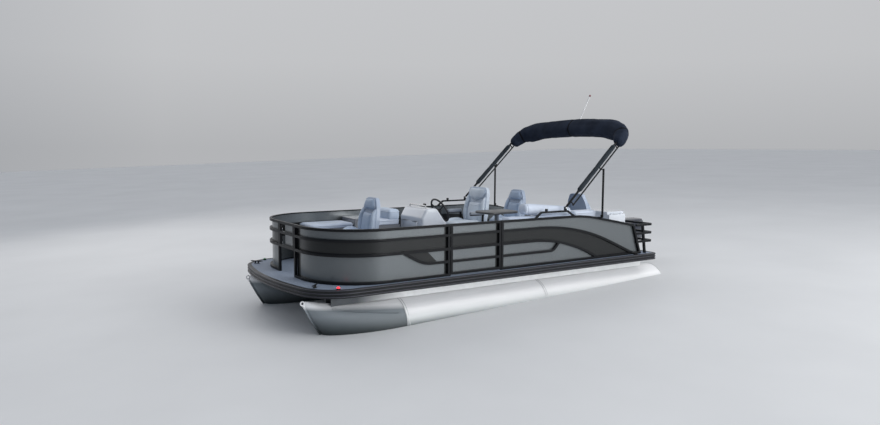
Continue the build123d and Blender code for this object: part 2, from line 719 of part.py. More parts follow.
with BuildPart() as steering_wheel:
    with Locations(wheel_plane):
        Torus(wheel_radius, wheel_rim)
    with Locations(wheel_plane.offset(-28)):
        Cylinder(34, 36, align=(Align.CENTER, Align.CENTER, Align.MIN))
    for turn in (90, 210, 330):
        with Locations(wheel_plane * Location((0, 0, -6), (0, 0, turn))):
            with Locations((wheel_radius / 2, 0, 0)):
                Box(wheel_radius, 22, 8)
    with Locations(wheel_plane.offset(-40)):
        Cylinder(9.06, 40, align=(Align.CENTER, Align.CENTER, Align.MIN), mode=Mode.SUBTRACT)
steering_wheel.part.label = "steering_wheel"
export_step(steering_wheel.part, "parts/steering_wheel.step")

# Chairs on pedestals. Each turns about its post, a little behind the middle of its seat.
chairs = [
    # name, forward, to port, turn, back's height over the deck, seat's width, whether it has arms
    ("helm_chair", 2283, -560, 0, 957, 500, True),
    ("bow_chair", 4258, -300, 0, 880, 440, False),
    ("port_aft_chair", 520, 300, 180, 866, 440, False),
    ("starboard_aft_chair", 1398, -620, 0, 890, 440, False),
]
pedestal_high = 300.0
pedestal_radius = 36.0
pedestal_foot = (120.0, 12.0)
chair_pin = 14.0
pin_reach = 32.0
chair_hub = (70.0, 40.0)
seat_ahead = 42.0
seat_depth = 0.94            # share of its width
seat_thick = 110.0
back_lean = 10.0
back_thick = 85.0
back_corner = 50.0
back_edge = 18.0
pad_edge = 12.0
# Half of the back's outline: share of the half width, share of the height.
back_line = [(0.80, 0.0), (1.0, 0.18), (1.0, 0.42), (0.68, 0.72), (0.60, 1.0)]
# Pads on the back: across and up (shares), width and height (shares), thickness.
back_pads = [
    (0.84, 0.33, 0.24, 0.34, 36),
    (-0.84, 0.33, 0.24, 0.34, 36),
    (0.0, 0.40, 1.06, 0.34, 18),
    (0.0, 0.84, 0.86, 0.20, 22),
]
seat_low = pedestal_high + chair_hub[1]
arm_low = 550.0
arm_top = 612.0
with BuildPart() as seat_pedestals:
    for _, x, y, *_ in chairs:
        with Locations((fwd(x), y, deck_top)):
            Cylinder(*pedestal_foot, align=(Align.CENTER, Align.CENTER, Align.MIN))
            Cylinder(pedestal_radius, pedestal_high, align=(Align.CENTER, Align.CENTER, Align.MIN))
            Cylinder(chair_pin, pedestal_high + pin_reach,
                     align=(Align.CENTER, Align.CENTER, Align.MIN))
seat_pedestals.part.label = "seat_pedestals"
export_step(seat_pedestals.part, "parts/seat_pedestals.step")

# Each chair is drawn about its post with the deck at zero, then turned and put in its place.
for piece, x, y, turn, back_high, wide, arms in chairs:
    half = wide / 2
    heel = seat_ahead - seat_depth * half
    rise = (back_high - seat_low) / math.cos(math.radians(back_lean))
    lean = math.radians(back_lean)
    back_plane = Plane(origin=(heel, 0, seat_low), x_dir=(0, 1, 0),
                       z_dir=(math.cos(lean), 0, math.sin(lean)))
    with BuildPart() as chair:
        with BuildSketch(Plane.XY.offset(seat_low)):
            with Locations((seat_ahead, 0)):
                RectangleRounded(seat_depth * wide, wide, 75)
        extrude(amount=seat_thick)
        fillet(chair.faces().sort_by(Axis.Z)[-1].edges(), 30)
        with BuildPart(mode=Mode.PRIVATE) as back:
            with BuildSketch(back_plane):
                with BuildLine():
                    outline = [(a * half, b * rise) for a, b in back_line]
                    Polyline(*outline, *[(-a, b) for a, b in reversed(outline)], close=True)
                make_face()
                fillet(vertices(), back_corner)
            extrude(amount=back_thick)
            for face in (-1, 0):
                fillet(back.faces().sort_by(Axis((0, 0, 0), back_plane.z_dir))[face].edges(), back_edge)
        add(back.part)
        for across, high, broad, tall, thick in back_pads:
            with BuildPart(mode=Mode.PRIVATE) as pad:
                with BuildSketch(back_plane.offset(back_thick - 10)):
                    with Locations((across * half, high * rise)):
                        RectangleRounded(broad * half, tall * rise, 0.11 * half)
                extrude(amount=thick + 10)
                fillet(pad.faces().sort_by(Axis((0, 0, 0), back_plane.z_dir))[-1].edges(), pad_edge)
            add(pad.part)
        for side in (1, -1):
            with BuildPart(mode=Mode.PRIVATE) as bolster:
                with Locations((seat_ahead + 45, side * 0.86 * half, seat_low + seat_thick + 8)):
                    Box(seat_depth * wide - 150, 0.22 * half, 60)
                fillet(bolster.edges().filter_by(Axis.X), 11)
                fillet(bolster.edges().filter_by(Axis.Y).group_by(Axis.Z)[-1], 18)
            add(bolster.part)
            if arms:
                with BuildPart(mode=Mode.PRIVATE) as arm:
                    block(-143, 130, side * (half + 30) - 28, side * (half + 30) + 28,
                          arm_low, arm_top)
                    fillet(arm.edges(), 20)
                add(arm.part)
                block(-140, -104, side * (half - 2) - 22, side * (half - 2) + 22,
                      seat_low + 30, arm_low + 20)
        with Locations((0, 0, pedestal_high + seat_gap)):
            Cylinder(chair_hub[0], chair_hub[1] + 5, align=(Align.CENTER, Align.CENTER, Align.MIN))
        with Locations((0, 0, pedestal_high - 1)):
            Cylinder(chair_pin + 0.08, pin_reach + 4, align=(Align.CENTER, Align.CENTER, Align.MIN),
                     mode=Mode.SUBTRACT)
    seat = chair.part.moved(Location((fwd(x), y, deck_top), (0, 0, turn)))
    seat.label = piece
    export_step(seat, f"parts/{piece}.step")

# Table on its post.
table_x = 2480.0
table_y = 470.0
table_high = 690.0
with BuildPart() as table_pedestal:
    with Locations((fwd(table_x), table_y, deck_top)):
        Cylinder(90, 12, align=(Align.CENTER, Align.CENTER, Align.MIN))
        Cylinder(30, table_high - 30, align=(Align.CENTER, Align.CENTER, Align.MIN))
table_pedestal.part.label = "table_pedestal"
export_step(table_pedestal.part, "parts/table_pedestal.step")
with BuildPart() as table_top:
    with BuildSketch(Plane.XY.offset(up(table_high - 30))):
        with Locations((fwd(table_x), table_y)):
            RectangleRounded(560, 400, 110)
    extrude(amount=30)
table_top.part.label = "table_top"
export_step(table_top.part, "parts/table_top.step")

# Aft fishing station with a lifting lid.
station = (560.0, 900.0, 640.0, 1120.0)      # back, front, starboard, port
station_high = 610.0
lid_thick = 38.0
with BuildPart() as aft_station:
    back, front, low_y, high_y = station
    block(fwd(back), fwd(front), low_y, high_y, deck_top, up(station_high))
    block(fwd(back + 30), fwd(front - 30), low_y + 30, high_y - 60, up(200), up(station_high + 1),
          mode=Mode.SUBTRACT)
    with Locations((fwd(back + 60), high_y - 24, up(station_high + 12))):
        Cylinder(6, front - back - 120, rotation=(0, 90, 0),
                 align=(Align.CENTER, Align.CENTER, Align.MIN))
    for ear in (back + 60, front - 80):
        block(fwd(ear), fwd(ear + 20), high_y - 32, high_y - 16, up(station_high - 1),
              up(station_high + 16))
aft_station.part.label = "aft_station"
export_step(aft_station.part, "parts/aft_station.step")
with BuildPart() as aft_station_lid:
    block(fwd(back - 4), fwd(front + 4), low_y - 6, high_y - 40, up(station_high) + seat_gap,
          up(station_high + lid_thick))
    block(fwd(back + 120), fwd(front - 120), high_y - 60, high_y - 16, up(station_high + 5),
          up(station_high + 21))
    with Locations((fwd(back), high_y - 24, up(station_high + 12))):
        Cylinder(6.06, front - back, rotation=(0, 90, 0),
                 align=(Align.CENTER, Align.CENTER, Align.MIN), mode=Mode.SUBTRACT)
aft_station_lid.part.label = "aft_station_lid"
export_step(aft_station_lid.part, "parts/aft_station_lid.step")

# Folded canopy frame. It turns on two brackets that stand on the side rails, leans aft, and is
# held by a leg each side. Points along the frame are given up its slope from the pivots.
canopy_pivot_x = 1840.0
canopy_pivot = 757.0
canopy_lean = 42.7
arm_y = side_y
arm_radius = 16.0
arm_length = 1330.0
arm_eye = 12.0
canopy_pin = 7.0
sleeve_radius = 34.0
sleeve_start = 330.0
sleeve_end = arm_length - 60.0
second_drop = 74.0
second_start = 120.0
leg_clamp = 845.0
leg_radius = 15.0
leg_y = arm_y + sleeve_radius + 5.0 + leg_radius
leg_foot = 592.0
slope = Vector(-math.cos(math.radians(canopy_lean)), 0, math.sin(math.radians(canopy_lean)))
below = Vector(-math.sin(math.radians(canopy_lean)), 0, -math.cos(math.radians(canopy_lean)))
pivot = Vector(fwd(canopy_pivot_x), 0, up(canopy_pivot))


# A point of the frame: up the slope, to port, and under the slope.
def on_canopy(along, y, under=0.0):
    return pivot + slope * along + below * under + Vector(0, y, 0)


clamp_point = on_canopy(leg_clamp, 0, second_drop)
leg_x = clamp_point.X
# the top rail's middle where it passes the leg, on its way down to the stern
sweep_fall = (top_sweep[0][1] - top_sweep[1][1]) / (top_sweep[0][0] - top_sweep[1][0])
sweep_angle = math.degrees(math.atan(sweep_fall))
leg_rail = up(top_rail) - (fwd(top_sweep[0][0]) - leg_x) * sweep_fall
plate_thick = 6.0
plate_reach = 20.0
rail_top = top_rail + half_rail + seat_gap
bracket = [(2384, 638), (2285, 712), (1800, 712), (1640, 612)]
bracket_size = 24.0
with BuildPart() as canopy_brackets:
    for side in (1, -1):
        points = [(fwd(x), side * side_y, up(h)) for x, h in bracket]
        bent_bar(points, 30, bracket_size, bracket_size, (0, 1, 0))
        block(fwd(2178), fwd(2204), side * side_y - 14, side * side_y + 14, up(722), up(758))
        for ear in (-1, 1):
            ear_y = side * arm_y + ear * (arm_eye / 2 + 4)
            block(fwd(canopy_pivot_x) - 16, fwd(canopy_pivot_x) + 16, ear_y - 3, ear_y + 3,
                  up(716), up(canopy_pivot) + 15)
        with Locations((fwd(canopy_pivot_x), side * arm_y, up(canopy_pivot))):
            Cylinder(canopy_pin, arm_eye + 16, rotation=(90, 0, 0))
        # a plate on the sloping rail, with a lug beside the leg's foot
        lug_y = leg_y - leg_radius - seat_gap
        plate_half = (lug_y - side_y + half_rail) / 2
        with Locations(Location((leg_x, side * (lug_y - plate_half), leg_rail), (0, -sweep_angle, 0))):
            with Locations((0, 0, half_rail + seat_gap + plate_thick / 2)):
                Box(2 * plate_reach, 2 * plate_half, plate_thick)
        with Locations((leg_x, side * (lug_y - plate_thick / 2), leg_rail + half_rail + 10)):
            Box(32, plate_thick, 60, align=(Align.CENTER, Align.CENTER, Align.CENTER))
        # the bar's feet are cut level on the rail
        block(fwd(bracket[-1][0] - 100), fwd(bracket[0][0] + 100), side * side_y - 24, side * side_y + 24,
              up(bracket[-1][1] - 60), up(rail_top), mode=Mode.SUBTRACT)
canopy_brackets.part.label = "canopy_brackets"
export_step(canopy_brackets.part, "parts/canopy_brackets.step")

with BuildPart() as canopy_arms:
    for side in (1, -1):
        y = side * arm_y
        bent_rod([on_canopy(40, y), on_canopy(arm_length, y)], None, arm_radius)
        # flattened lower end with its eye
        eye_plane = Plane(origin=on_canopy(0, y), x_dir=slope, z_dir=(0, 1, 0))
        with Locations(eye_plane):
            with Locations((26, 0, 0)):
                Box(52, 26, arm_eye)
            Cylinder(13, arm_eye)
        # the second bow under the arm, with the clamps that hold it
        bent_rod([on_canopy(second_start, y, second_drop), on_canopy(arm_length, y, second_drop)],
                 None, 11)
        for along in (second_start + 12, leg_clamp, arm_length - 40):
            bent_rod([on_canopy(along, y), on_canopy(along, y, second_drop)], None, 9)
        # the pin that a leg hangs on
        pin_end = side * (leg_y + 8)
        bent_rod([on_canopy(leg_clamp, y, second_drop), on_canopy(leg_clamp, pin_end, second_drop)],
                 None, 6)
    for side in (1, -1):
        with Locations((fwd(canopy_pivot_x), side * arm_y, up(canopy_pivot))):
            Cylinder(canopy_pin + 0.06, arm_eye + 4, rotation=(90, 0, 0), mode=Mode.SUBTRACT)
canopy_arms.part.label = "canopy_arms"
export_step(canopy_arms.part, "parts/canopy_arms.step")

# Fabric sleeves round the arms.
with BuildPart() as canopy_sleeves:
    for side in (1, -1):
        y = side * arm_y
        bent_rod([on_canopy(sleeve_start, y), on_canopy(sleeve_end, y)], None, sleeve_radius)
    bore = Plane(origin=on_canopy(sleeve_start, 0), x_dir=(0, 1, 0), z_dir=slope)
    with Locations(bore):
        with Locations((arm_y, 0, -5), (-arm_y, 0, -5)):
            Cylinder(arm_radius + seat_gap, sleeve_end - sleeve_start + 10,
                     align=(Align.CENTER, Align.CENTER, Align.MIN), mode=Mode.SUBTRACT)
    for side in (1, -1):
        with Locations(Plane(origin=on_canopy(leg_clamp, side * arm_y), x_dir=(0, 1, 0), z_dir=below)):
            Cylinder(9 + seat_gap, 60, align=(Align.CENTER, Align.CENTER, Align.MIN),
                     mode=Mode.SUBTRACT)
canopy_sleeves.part.label = "canopy_sleeves"
export_step(canopy_sleeves.part, "parts/canopy_sleeves.step")

# The folded canopy in its boot, an arch over the beam.
boot_under = 34.0
boot_line = [
    # to port, up the slope, turn of the section from level, thickness, depth
    (1172, arm_length + seat_gap, 0, 170, 150),
    (1120, arm_length + 148, 42, 210, 200),
    (800, arm_length + 310, 72, 245, 270),
    (0, arm_length + 405, 90, 260, 320),
    (-800, arm_length + 310, 108, 245, 270),
    (-1120, arm_length + 148, 138, 210, 200),
    (-1172, arm_length + seat_gap, 180, 170, 150),
]
with BuildPart() as canopy_boot:
    for y, along, turn, thick, deep in boot_line:
        angle = math.radians(turn)
        ahead = slope * math.cos(angle) + Vector(0, -1, 0) * math.sin(angle)
        place = Plane(origin=on_canopy(along, y, boot_under), x_dir=below, z_dir=ahead)
        with BuildSketch(place):
            Ellipse(thick / 2, deep / 2)
    loft()
canopy_boot.part.label = "canopy_boot"
export_step(canopy_boot.part, "parts/canopy_boot.step")

with BuildPart() as all_round_light:
    pole_foot = on_canopy(boot_line[3][1] + boot_line[3][4] / 2 - 30, 0, boot_under)
    pole_tip = pole_foot + Vector(-190, 0, 350)
    pole_plane = Plane(origin=pole_foot, z_dir=pole_tip - pole_foot)
    with Locations(pole_plane):
        Cylinder(24, 20, align=(Align.CENTER, Align.CENTER, Align.MIN))
        Cylinder(9, 360, align=(Align.CENTER, Align.CENTER, Align.MIN))
    with Locations(pole_plane.offset(360)):
        Cylinder(16, 34, align=(Align.CENTER, Align.CENTER, Align.MIN))
    add(canopy_boot.part, mode=Mode.SUBTRACT)
all_round_light.part.label = "all_round_light"
export_step(all_round_light.part, "parts/all_round_light.step")

# Legs, from the clamps down beside the side rails.
for side, piece in ((1, "canopy_leg_port"), (-1, "canopy_leg_starboard")):
    with BuildPart() as canopy_leg:
        y = side * leg_y
        foot_up = up(leg_foot)
        with Locations((clamp_point.X, y, foot_up)):
            Cylinder(leg_radius, clamp_point.Z - foot_up - 6, align=(Align.CENTER, Align.CENTER, Align.MIN))
        with Locations((clamp_point.X, y, clamp_point.Z)):
            Cylinder(14, 14, rotation=(90, 0, 0))
            Cylinder(6.06, 20, rotation=(90, 0, 0), mode=Mode.SUBTRACT)
    canopy_leg.part.label = piece
    export_step(canopy_leg.part, f"parts/{piece}.step")

# Outboard motor: clamp bracket, swivel bracket, leg, cowl, gearcase and propeller.
tilt_x = transom_x - 18.0
tilt_z = transom_top + 46.0
steer_x = transom_x - 92.0
motor_plate = 300.0          # underside of the flat plate over the propeller
motor_plate_thick = 14.0
shaft_z = 152.0
propeller_radius = 127.0
propeller_x = steer_x - 250.0
with BuildPart() as outboard_clamp:
    for y in (-118, 118):
        block(fwd(transom_x - 62), fwd(transom_x) - seat_gap, y - 11, y + 11, transom_top - 250,
              transom_top + 20)
        block(fwd(tilt_x - 24), fwd(tilt_x + 24), y - 11, y + 11, transom_top + seat_gap, tilt_z + 20)
        block(fwd(tilt_x), fwd(transom_x + transom_thick + 20), y - 11, y + 11,
              transom_top + seat_gap, transom_top + 20)
        block(fwd(transom_x + transom_thick + seat_gap), fwd(transom_x + transom_thick + 20),
              y - 11, y + 11, transom_top - 80, transom_top + 20)
    with Locations((fwd(tilt_x), 0, tilt_z)):
        Cylinder(13, 240, rotation=(90, 0, 0))
outboard_clamp.part.label = "outboard_clamp"
export_step(outboard_clamp.part, "parts/outboard_clamp.step")

with BuildPart() as outboard_swivel:
    with Locations((fwd(tilt_x), 0, tilt_z)):
        Cylinder(24, 196, rotation=(90, 0, 0))
    block(fwd(steer_x - 10), fwd(tilt_x), -60, 60, tilt_z - 22, tilt_z + 22)
    with Locations((fwd(steer_x), 0, tilt_z - 300)):
        Cylinder(32, 322, align=(Align.CENTER, Align.CENTER, Align.MIN))
    block(fwd(steer_x), fwd(transom_x - 66), -50, 50, tilt_z - 260, tilt_z)
    with Locations((fwd(tilt_x), 0, tilt_z)):
        Cylinder(13.06, 240, rotation=(90, 0, 0), mode=Mode.SUBTRACT)
    with Locations((fwd(steer_x), 0, tilt_z - 320)):
        Cylinder(14.06, 400, align=(Align.CENTER, Align.CENTER, Align.MIN), mode=Mode.SUBTRACT)
outboard_swivel.part.label = "outboard_swivel"
export_step(outboard_swivel.part, "parts/outboard_swivel.step")

# Each section of the leg: height, forward end, aft end, half width, from the steering axis.
leg_sections = [
    (motor_plate + motor_plate_thick, 70, -150, 30),
    (tilt_z - 330, 62, -150, 40),
]
with BuildPart() as outboard_leg:
    with Locations((fwd(steer_x), 0, tilt_z - 330)):
        Cylinder(14, 374, align=(Align.CENTER, Align.CENTER, Align.MIN))
    for height, front, back, half in leg_sections:
        with BuildSketch(Plane.XY.offset(height)):
            with Locations((fwd(steer_x) + (front + back) / 2, 0)):
                Ellipse((front - back) / 2, half)
    loft()
    # the case aft of the swivel, up to the cowl's tray
    with BuildSketch(Plane.XY.offset(tilt_z - 331)):
        with Locations((fwd(steer_x) - 115, 0)):
            RectangleRounded(110, 110, 30)
    extrude(amount=331 + 40)
    with BuildSketch(Plane.XY.offset(tilt_z + 34)):
        with Locations((fwd(steer_x - 278), 0)):
            RectangleRounded(520, 280, 90)
    extrude(amount=22)
outboard_leg.part.label = "outboard_leg"
export_step(outboard_leg.part, "parts/outboard_leg.step")

cowl_z = tilt_z + 56.0 + seat_gap
# Sections of the cowl: height over its foot, length, width, corner, how far aft its middle is.
cowl_sections = [
    (0, 580, 320, 110, 278),
    (60, 640, 352, 120, 288),
    (250, 610, 330, 120, 292),
    (355, 470, 236, 90, 310),
]
with BuildPart() as outboard_cowl:
    for height, long, wide, corner, aft in cowl_sections:
        with BuildSketch(Plane.XY.offset(cowl_z + height)):
            with Locations((fwd(steer_x) - aft, 0)):
                RectangleRounded(long, wide, corner)
    loft(ruled=True)
    fillet(outboard_cowl.faces().sort_by(Axis.Z)[-1].edges(), 24)
outboard_cowl.part.label = "outboard_cowl"
export_step(outboard_cowl.part, "parts/outboard_cowl.step")

with BuildPart() as outboard_gearcase:
    with BuildSketch(Plane.XY.offset(motor_plate)):
        with Locations((fwd(steer_x - 140), 0)):
            RectangleRounded(400, 160, 50)
    extrude(amount=motor_plate_thick - seat_gap)
    # strut, from the plate down into the torpedo
    for height, long, half in ((motor_plate, 110, 24), (shaft_z + 10, 100, 28)):
        with BuildSketch(Plane.XY.offset(height)):
            with Locations((fwd(steer_x - 60), 0)):
                Ellipse(long, half)
    loft()
    # torpedo: a long taper aft of its widest place, a short one and a round tip before it
    nose_x = fwd(steer_x) + 60
    torpedo_back = fwd(propeller_x) + 36
    torpedo_mid = nose_x - 130
    torpedo_tip = nose_x - 26
    with Locations(Plane.YZ.offset(torpedo_mid)):
        with Locations((0, shaft_z)):
            Cone(40, 50, torpedo_mid - torpedo_back, align=(Align.CENTER, Align.CENTER, Align.MAX))
            Cone(50, 26, torpedo_tip - torpedo_mid, align=(Align.CENTER, Align.CENTER, Align.MIN))
    with Locations((torpedo_tip, 0, shaft_z)):
        Sphere(26)
    # skeg
    with BuildSketch(Plane.XZ.offset(-5)):
        with BuildLine():
            Polyline((nose_x - 60, shaft_z - 20), (nose_x - 130, 32), (nose_x - 230, 26),
                     (nose_x - 240, shaft_z - 20), close=True)
        make_face()
    extrude(amount=10)
    with Locations(Plane.YZ.offset(torpedo_back)):
        with Locations((0, shaft_z)):
            Cylinder(9, 110, align=(Align.CENTER, Align.CENTER, Align.MAX))
outboard_gearcase.part.label = "outboard_gearcase"
export_step(outboard_gearcase.part, "parts/outboard_gearcase.step")

blade_count = 3
blade_pitch = 52.0
with BuildPart() as propeller:
    with Locations(Plane.YZ.offset(fwd(propeller_x) + 30)):
        with Locations((0, shaft_z)):
            Cylinder(38, 96, align=(Align.CENTER, Align.CENTER, Align.MAX))
    for blade in range(blade_count):
        hub = Plane(origin=(fwd(propeller_x) - 18, 0, shaft_z), x_dir=(0, 1, 0), z_dir=(1, 0, 0))
        with Locations(hub * Location((0, 0, 0), (0, 0, blade * 360 / blade_count))):
            with Locations(Location((78, 0, 0), (blade_pitch, 0, 0))):
                Cylinder(48, 7)
    with Locations(Plane.YZ.offset(fwd(propeller_x) + 60)):
        with Locations((0, shaft_z)):
            Cylinder(9.06, 200, align=(Align.CENTER, Align.CENTER, Align.MAX), mode=Mode.SUBTRACT)
propeller.part.label = "propeller"
export_step(propeller.part, "parts/propeller.step")
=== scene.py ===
import math

import bpy
import numpy as np
from mathutils import Matrix, Vector


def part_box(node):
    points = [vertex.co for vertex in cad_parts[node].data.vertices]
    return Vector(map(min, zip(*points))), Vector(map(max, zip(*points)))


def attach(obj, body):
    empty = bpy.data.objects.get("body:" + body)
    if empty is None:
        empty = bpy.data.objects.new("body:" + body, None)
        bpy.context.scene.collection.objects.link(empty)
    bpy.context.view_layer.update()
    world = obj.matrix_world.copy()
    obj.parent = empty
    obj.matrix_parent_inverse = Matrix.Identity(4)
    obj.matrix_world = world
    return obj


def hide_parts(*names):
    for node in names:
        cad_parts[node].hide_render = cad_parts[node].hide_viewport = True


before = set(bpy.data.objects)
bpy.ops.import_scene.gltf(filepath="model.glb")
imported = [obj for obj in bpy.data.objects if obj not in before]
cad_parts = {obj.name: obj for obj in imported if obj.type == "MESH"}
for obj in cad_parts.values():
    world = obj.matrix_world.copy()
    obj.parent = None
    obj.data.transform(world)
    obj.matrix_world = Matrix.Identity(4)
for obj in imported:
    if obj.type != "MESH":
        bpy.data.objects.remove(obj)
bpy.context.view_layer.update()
print("frame loaded")

# The boat's own measures, in metres: x is counted from the deck's stern edge, heights from the deck.
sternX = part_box("deck_trim")[0].x
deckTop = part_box("deck")[1].z
boat = {"deckLong": 5.700, "halfBeam": 1.295, "tubeY": 0.935, "tubeRadius": 0.3175, "tubeZ": 0.3435}
toPort = np.array([0.0, 1.0, 0.0])
upward = np.array([0.0, 0.0, 1.0])


# A place on the boat: forward from the stern edge, to port, and up from the deck.
def at(x, y, up):
    return np.array([sternX + x, y, deckTop + up])


def onBoat(points):
    return at(0, 0, 0) + np.asarray(points, float)


# Angles at even steps round a full turn, and from nothing to a quarter turn.
def around(count):
    return np.linspace(0, 2 * math.pi, count, endpoint=False)


def quarterTurn(steps):
    return np.linspace(0, math.pi / 2, steps)


# Vectors divided by their own lengths.
def unit(vectors):
    vectors = np.asarray(vectors, float)
    return vectors / np.linalg.norm(vectors, axis=-1, keepdims=True)


# A share from 0 to 1 that starts and ends level: t squared times (3 - 2 t).
def smoothStep(t):
    t = np.clip(t, 0, 1)
    return t * t * (3 - 2 * t)


# A hump of height 1 at a place, which falls off as exp(-(distance / width) squared).
def hump(t, place, width):
    return np.exp(-((t - place) / width) ** 2)


# A smooth curve through keyed rows: cubic pieces whose slopes come from the neighbouring keys.
def throughKeys(keys, rows, t):
    keys, rows = np.asarray(keys, float), np.asarray(rows, float)
    slopes = np.gradient(rows, keys, axis=0)
    i = np.clip(np.searchsorted(keys, t, side="right") - 1, 0, len(keys) - 2)
    h = (keys[i + 1] - keys[i])[:, None]
    s = ((t - keys[i]) / h[:, 0])[:, None]
    return ((1 + 2 * s) * (1 - s) ** 2 * rows[i] + s * (1 - s) ** 2 * h * slopes[i]
            + s * s * (3 - 2 * s) * rows[i + 1] + s * s * (s - 1) * h * slopes[i + 1])


# Straight runs joined by arcs: each corner is replaced by the arc of its radius that touches both runs.
def bentPath(points, radii, steps=10):
    points = np.asarray(points, float)
    if np.isscalar(radii):
        radii = [radii] * (len(points) - 2)
    out = [points[0][None]]
    for corner, radius in zip(range(1, len(points) - 1), radii):
        before = unit(points[corner - 1] - points[corner])
        after = unit(points[corner + 1] - points[corner])
        half = math.acos(np.clip(before @ after, -1, 1)) / 2
        centre = points[corner] + unit(before + after) * radius / math.sin(half)
        start = points[corner] + before * radius / math.tan(half) - centre
        sweep = (math.pi - 2 * half) * np.linspace(0, 1, steps)[:, None]
        cross = unit(start * (before @ start) / (start @ start) - before) * radius
        out.append(centre + start * np.cos(sweep) + cross * np.sin(sweep))
    out.append(points[-1][None])
    return np.concatenate(out)


# Points at even steps along a path.
def evenPath(path, count):
    path = np.asarray(path, float)
    length = np.concatenate([[0], np.cumsum(np.linalg.norm(np.diff(path, axis=0), axis=1))])
    marks = np.linspace(0, length[-1], count)
    return np.stack([np.interp(marks, length, path[:, k]) for k in range(path.shape[1])], axis=1)


# A closed outline with rounded corners, as points at even steps.
def roundedOutline(points, radius, count=64):
    points = np.asarray(points, float)
    middle = (points[0] + points[-1]) / 2
    path = bentPath(np.concatenate([[middle], points, [middle]]), radius, 8)
    return evenPath(path, count + 1)[:-1]


# A rounded rectangle as a closed loop of points: four quarter arcs about the inset corners.
def roundRect(width, height, radius, steps=4):
    corners = []
    for number, (sx, sy) in enumerate(((1, 1), (-1, 1), (-1, -1), (1, -1))):
        angle = quarterTurn(steps) + number * math.pi / 2
        corners.append(np.stack([sx * (width / 2 - radius) + radius * np.cos(angle),
                                 sy * (height / 2 - radius) + radius * np.sin(angle)], axis=1))
    return np.concatenate(corners)


# A circle as a closed loop of points, or an oval where its second direction is squashed.
def circle(radius, steps=16, squash=1.0):
    return np.stack([radius * np.cos(around(steps)), squash * radius * np.sin(around(steps))], axis=1)


# A grid of points as quads: each row is a closed ring, joined to the next. The end rows are closed
# by a fan about their middle, unless the rows run round as well.
def gridShape(points, wrapRows=False):
    rows, count = points.shape[:2]
    verts = points.reshape(-1, 3)
    i, j = [a.ravel() for a in np.meshgrid(np.arange(rows if wrapRows else rows - 1), np.arange(count),
                                           indexing="ij")]
    nextI, nextJ = (i + 1) % rows, (j + 1) % count
    quads = np.stack([i * count + j, i * count + nextJ, nextI * count + nextJ, nextI * count + j], axis=1)
    tris = np.zeros((0, 3), int)
    if not wrapRows:
        for row, turn in ((0, -1), (rows - 1, 1)):
            ring = np.arange(count) + row * count
            fan = np.stack([ring, np.roll(ring, -1), np.full(count, len(verts))], axis=1)
            verts = np.concatenate([verts, points[row].mean(axis=0)[None]])
            tris = np.concatenate([tris, fan[:, ::turn]])
    return verts, quads, tris


# Several shapes as one: their points in a row, with each one's faces counted on from there.
def joinShapes(shapes):
    starts = np.cumsum([0] + [len(verts) for verts, quads, tris in shapes])
    shifted = [(verts, quads + start, tris + start) for (verts, quads, tris), start in zip(shapes, starts)]
    return tuple(np.concatenate(arrays) for arrays in zip(*shifted))


# A profile carried along a path: each point is path + a * side + b * (tangent x side), with the side
# turned square to the path at every step.
def sweepShape(path, profile, side, closed=False):
    path = np.asarray(path, float)
    tangent = np.roll(path, -1, axis=0) - np.roll(path, 1, axis=0) if closed else np.gradient(path, axis=0)
    tangent = unit(tangent)
    side = np.broadcast_to(np.asarray(side, float), path.shape)
    side = unit(side - tangent * np.sum(side * tangent, axis=1)[:, None])
    profile = np.broadcast_to(profile, (len(path),) + np.shape(profile)[-2:])
    points = (path[:, None] + profile[..., :1] * side[:, None]
              + profile[..., 1:] * np.cross(tangent, side)[:, None])
    return gridShape(points, wrapRows=closed)


# A profile of (radius, height) turned about an axis through a point: each ring is
# radius * (cos * x + sin * y) at its height along the axis.
def latheShape(profile, origin, axis=(0, 0, 1), steps=32):
    axis = unit(axis)
    x = np.array((1.0, 0, 0) if abs(axis[0]) < 0.9 else (0, 1.0, 0))
    x = unit(x - axis * (x @ axis))
    angle = around(steps)[:, None]
    ring = np.cos(angle) * x + np.sin(angle) * np.cross(axis, x)
    profile = np.asarray(profile, float)[:, None]
    return gridShape(np.asarray(origin, float) + profile[..., :1] * ring[None] + profile[..., 1:] * axis)


# A box with rounded edges: rounded rectangles stacked up, drawn in along a quarter arc at both ends.
def roundBox(low, high, radius, corner=None, steps=4):
    low, high = np.asarray(low, float), np.asarray(high, float)
    corner = max(corner or radius, radius * 1.001)
    inset = radius * (1 - np.sin(quarterTurn(steps)))
    rise = radius * (1 - np.cos(quarterTurn(steps)))
    levels = np.concatenate([low[2] + rise, high[2] - rise[::-1]])
    wide, deep = (high - low)[:2]
    rows = [roundRect(wide - 2 * d, deep - 2 * d, max(corner - d, 1e-4), steps + 1)
            for d in np.concatenate([inset, inset[::-1]])]
    plan = np.stack(rows) + (low[:2] + high[:2]) / 2
    return gridShape(np.concatenate(
        [plan, np.broadcast_to(levels[:, None, None], plan.shape[:2] + (1,))], axis=2))


# A pad over an outline: rings drawn in towards the middle, whose height follows
# thick * (1 - ring ** power) ** (1 / power); flat underneath.
def padShape(outline, origin, ax, ay, thick, power=2.6, rings=10):
    outline = np.asarray(outline, float)
    ax, ay = np.asarray(ax, float), np.asarray(ay, float)
    middle = (outline.max(axis=0) + outline.min(axis=0)) / 2
    under = np.array([0.06, 0.5, 0.9, 0.985])
    over = np.cos(quarterTurn(rings)[:-1])
    share = np.concatenate([under, over, [0.03]])
    height = np.concatenate([np.zeros(len(under)),
                             0.06 * thick + 0.94 * thick * (1 - over ** power) ** (1 / power), [thick]])
    flat = middle + (outline - middle)[None] * share[:, None, None]
    return gridShape(np.asarray(origin, float) + flat[..., :1] * ax + flat[..., 1:] * ay
                     + height[:, None, None] * np.cross(ax, ay))


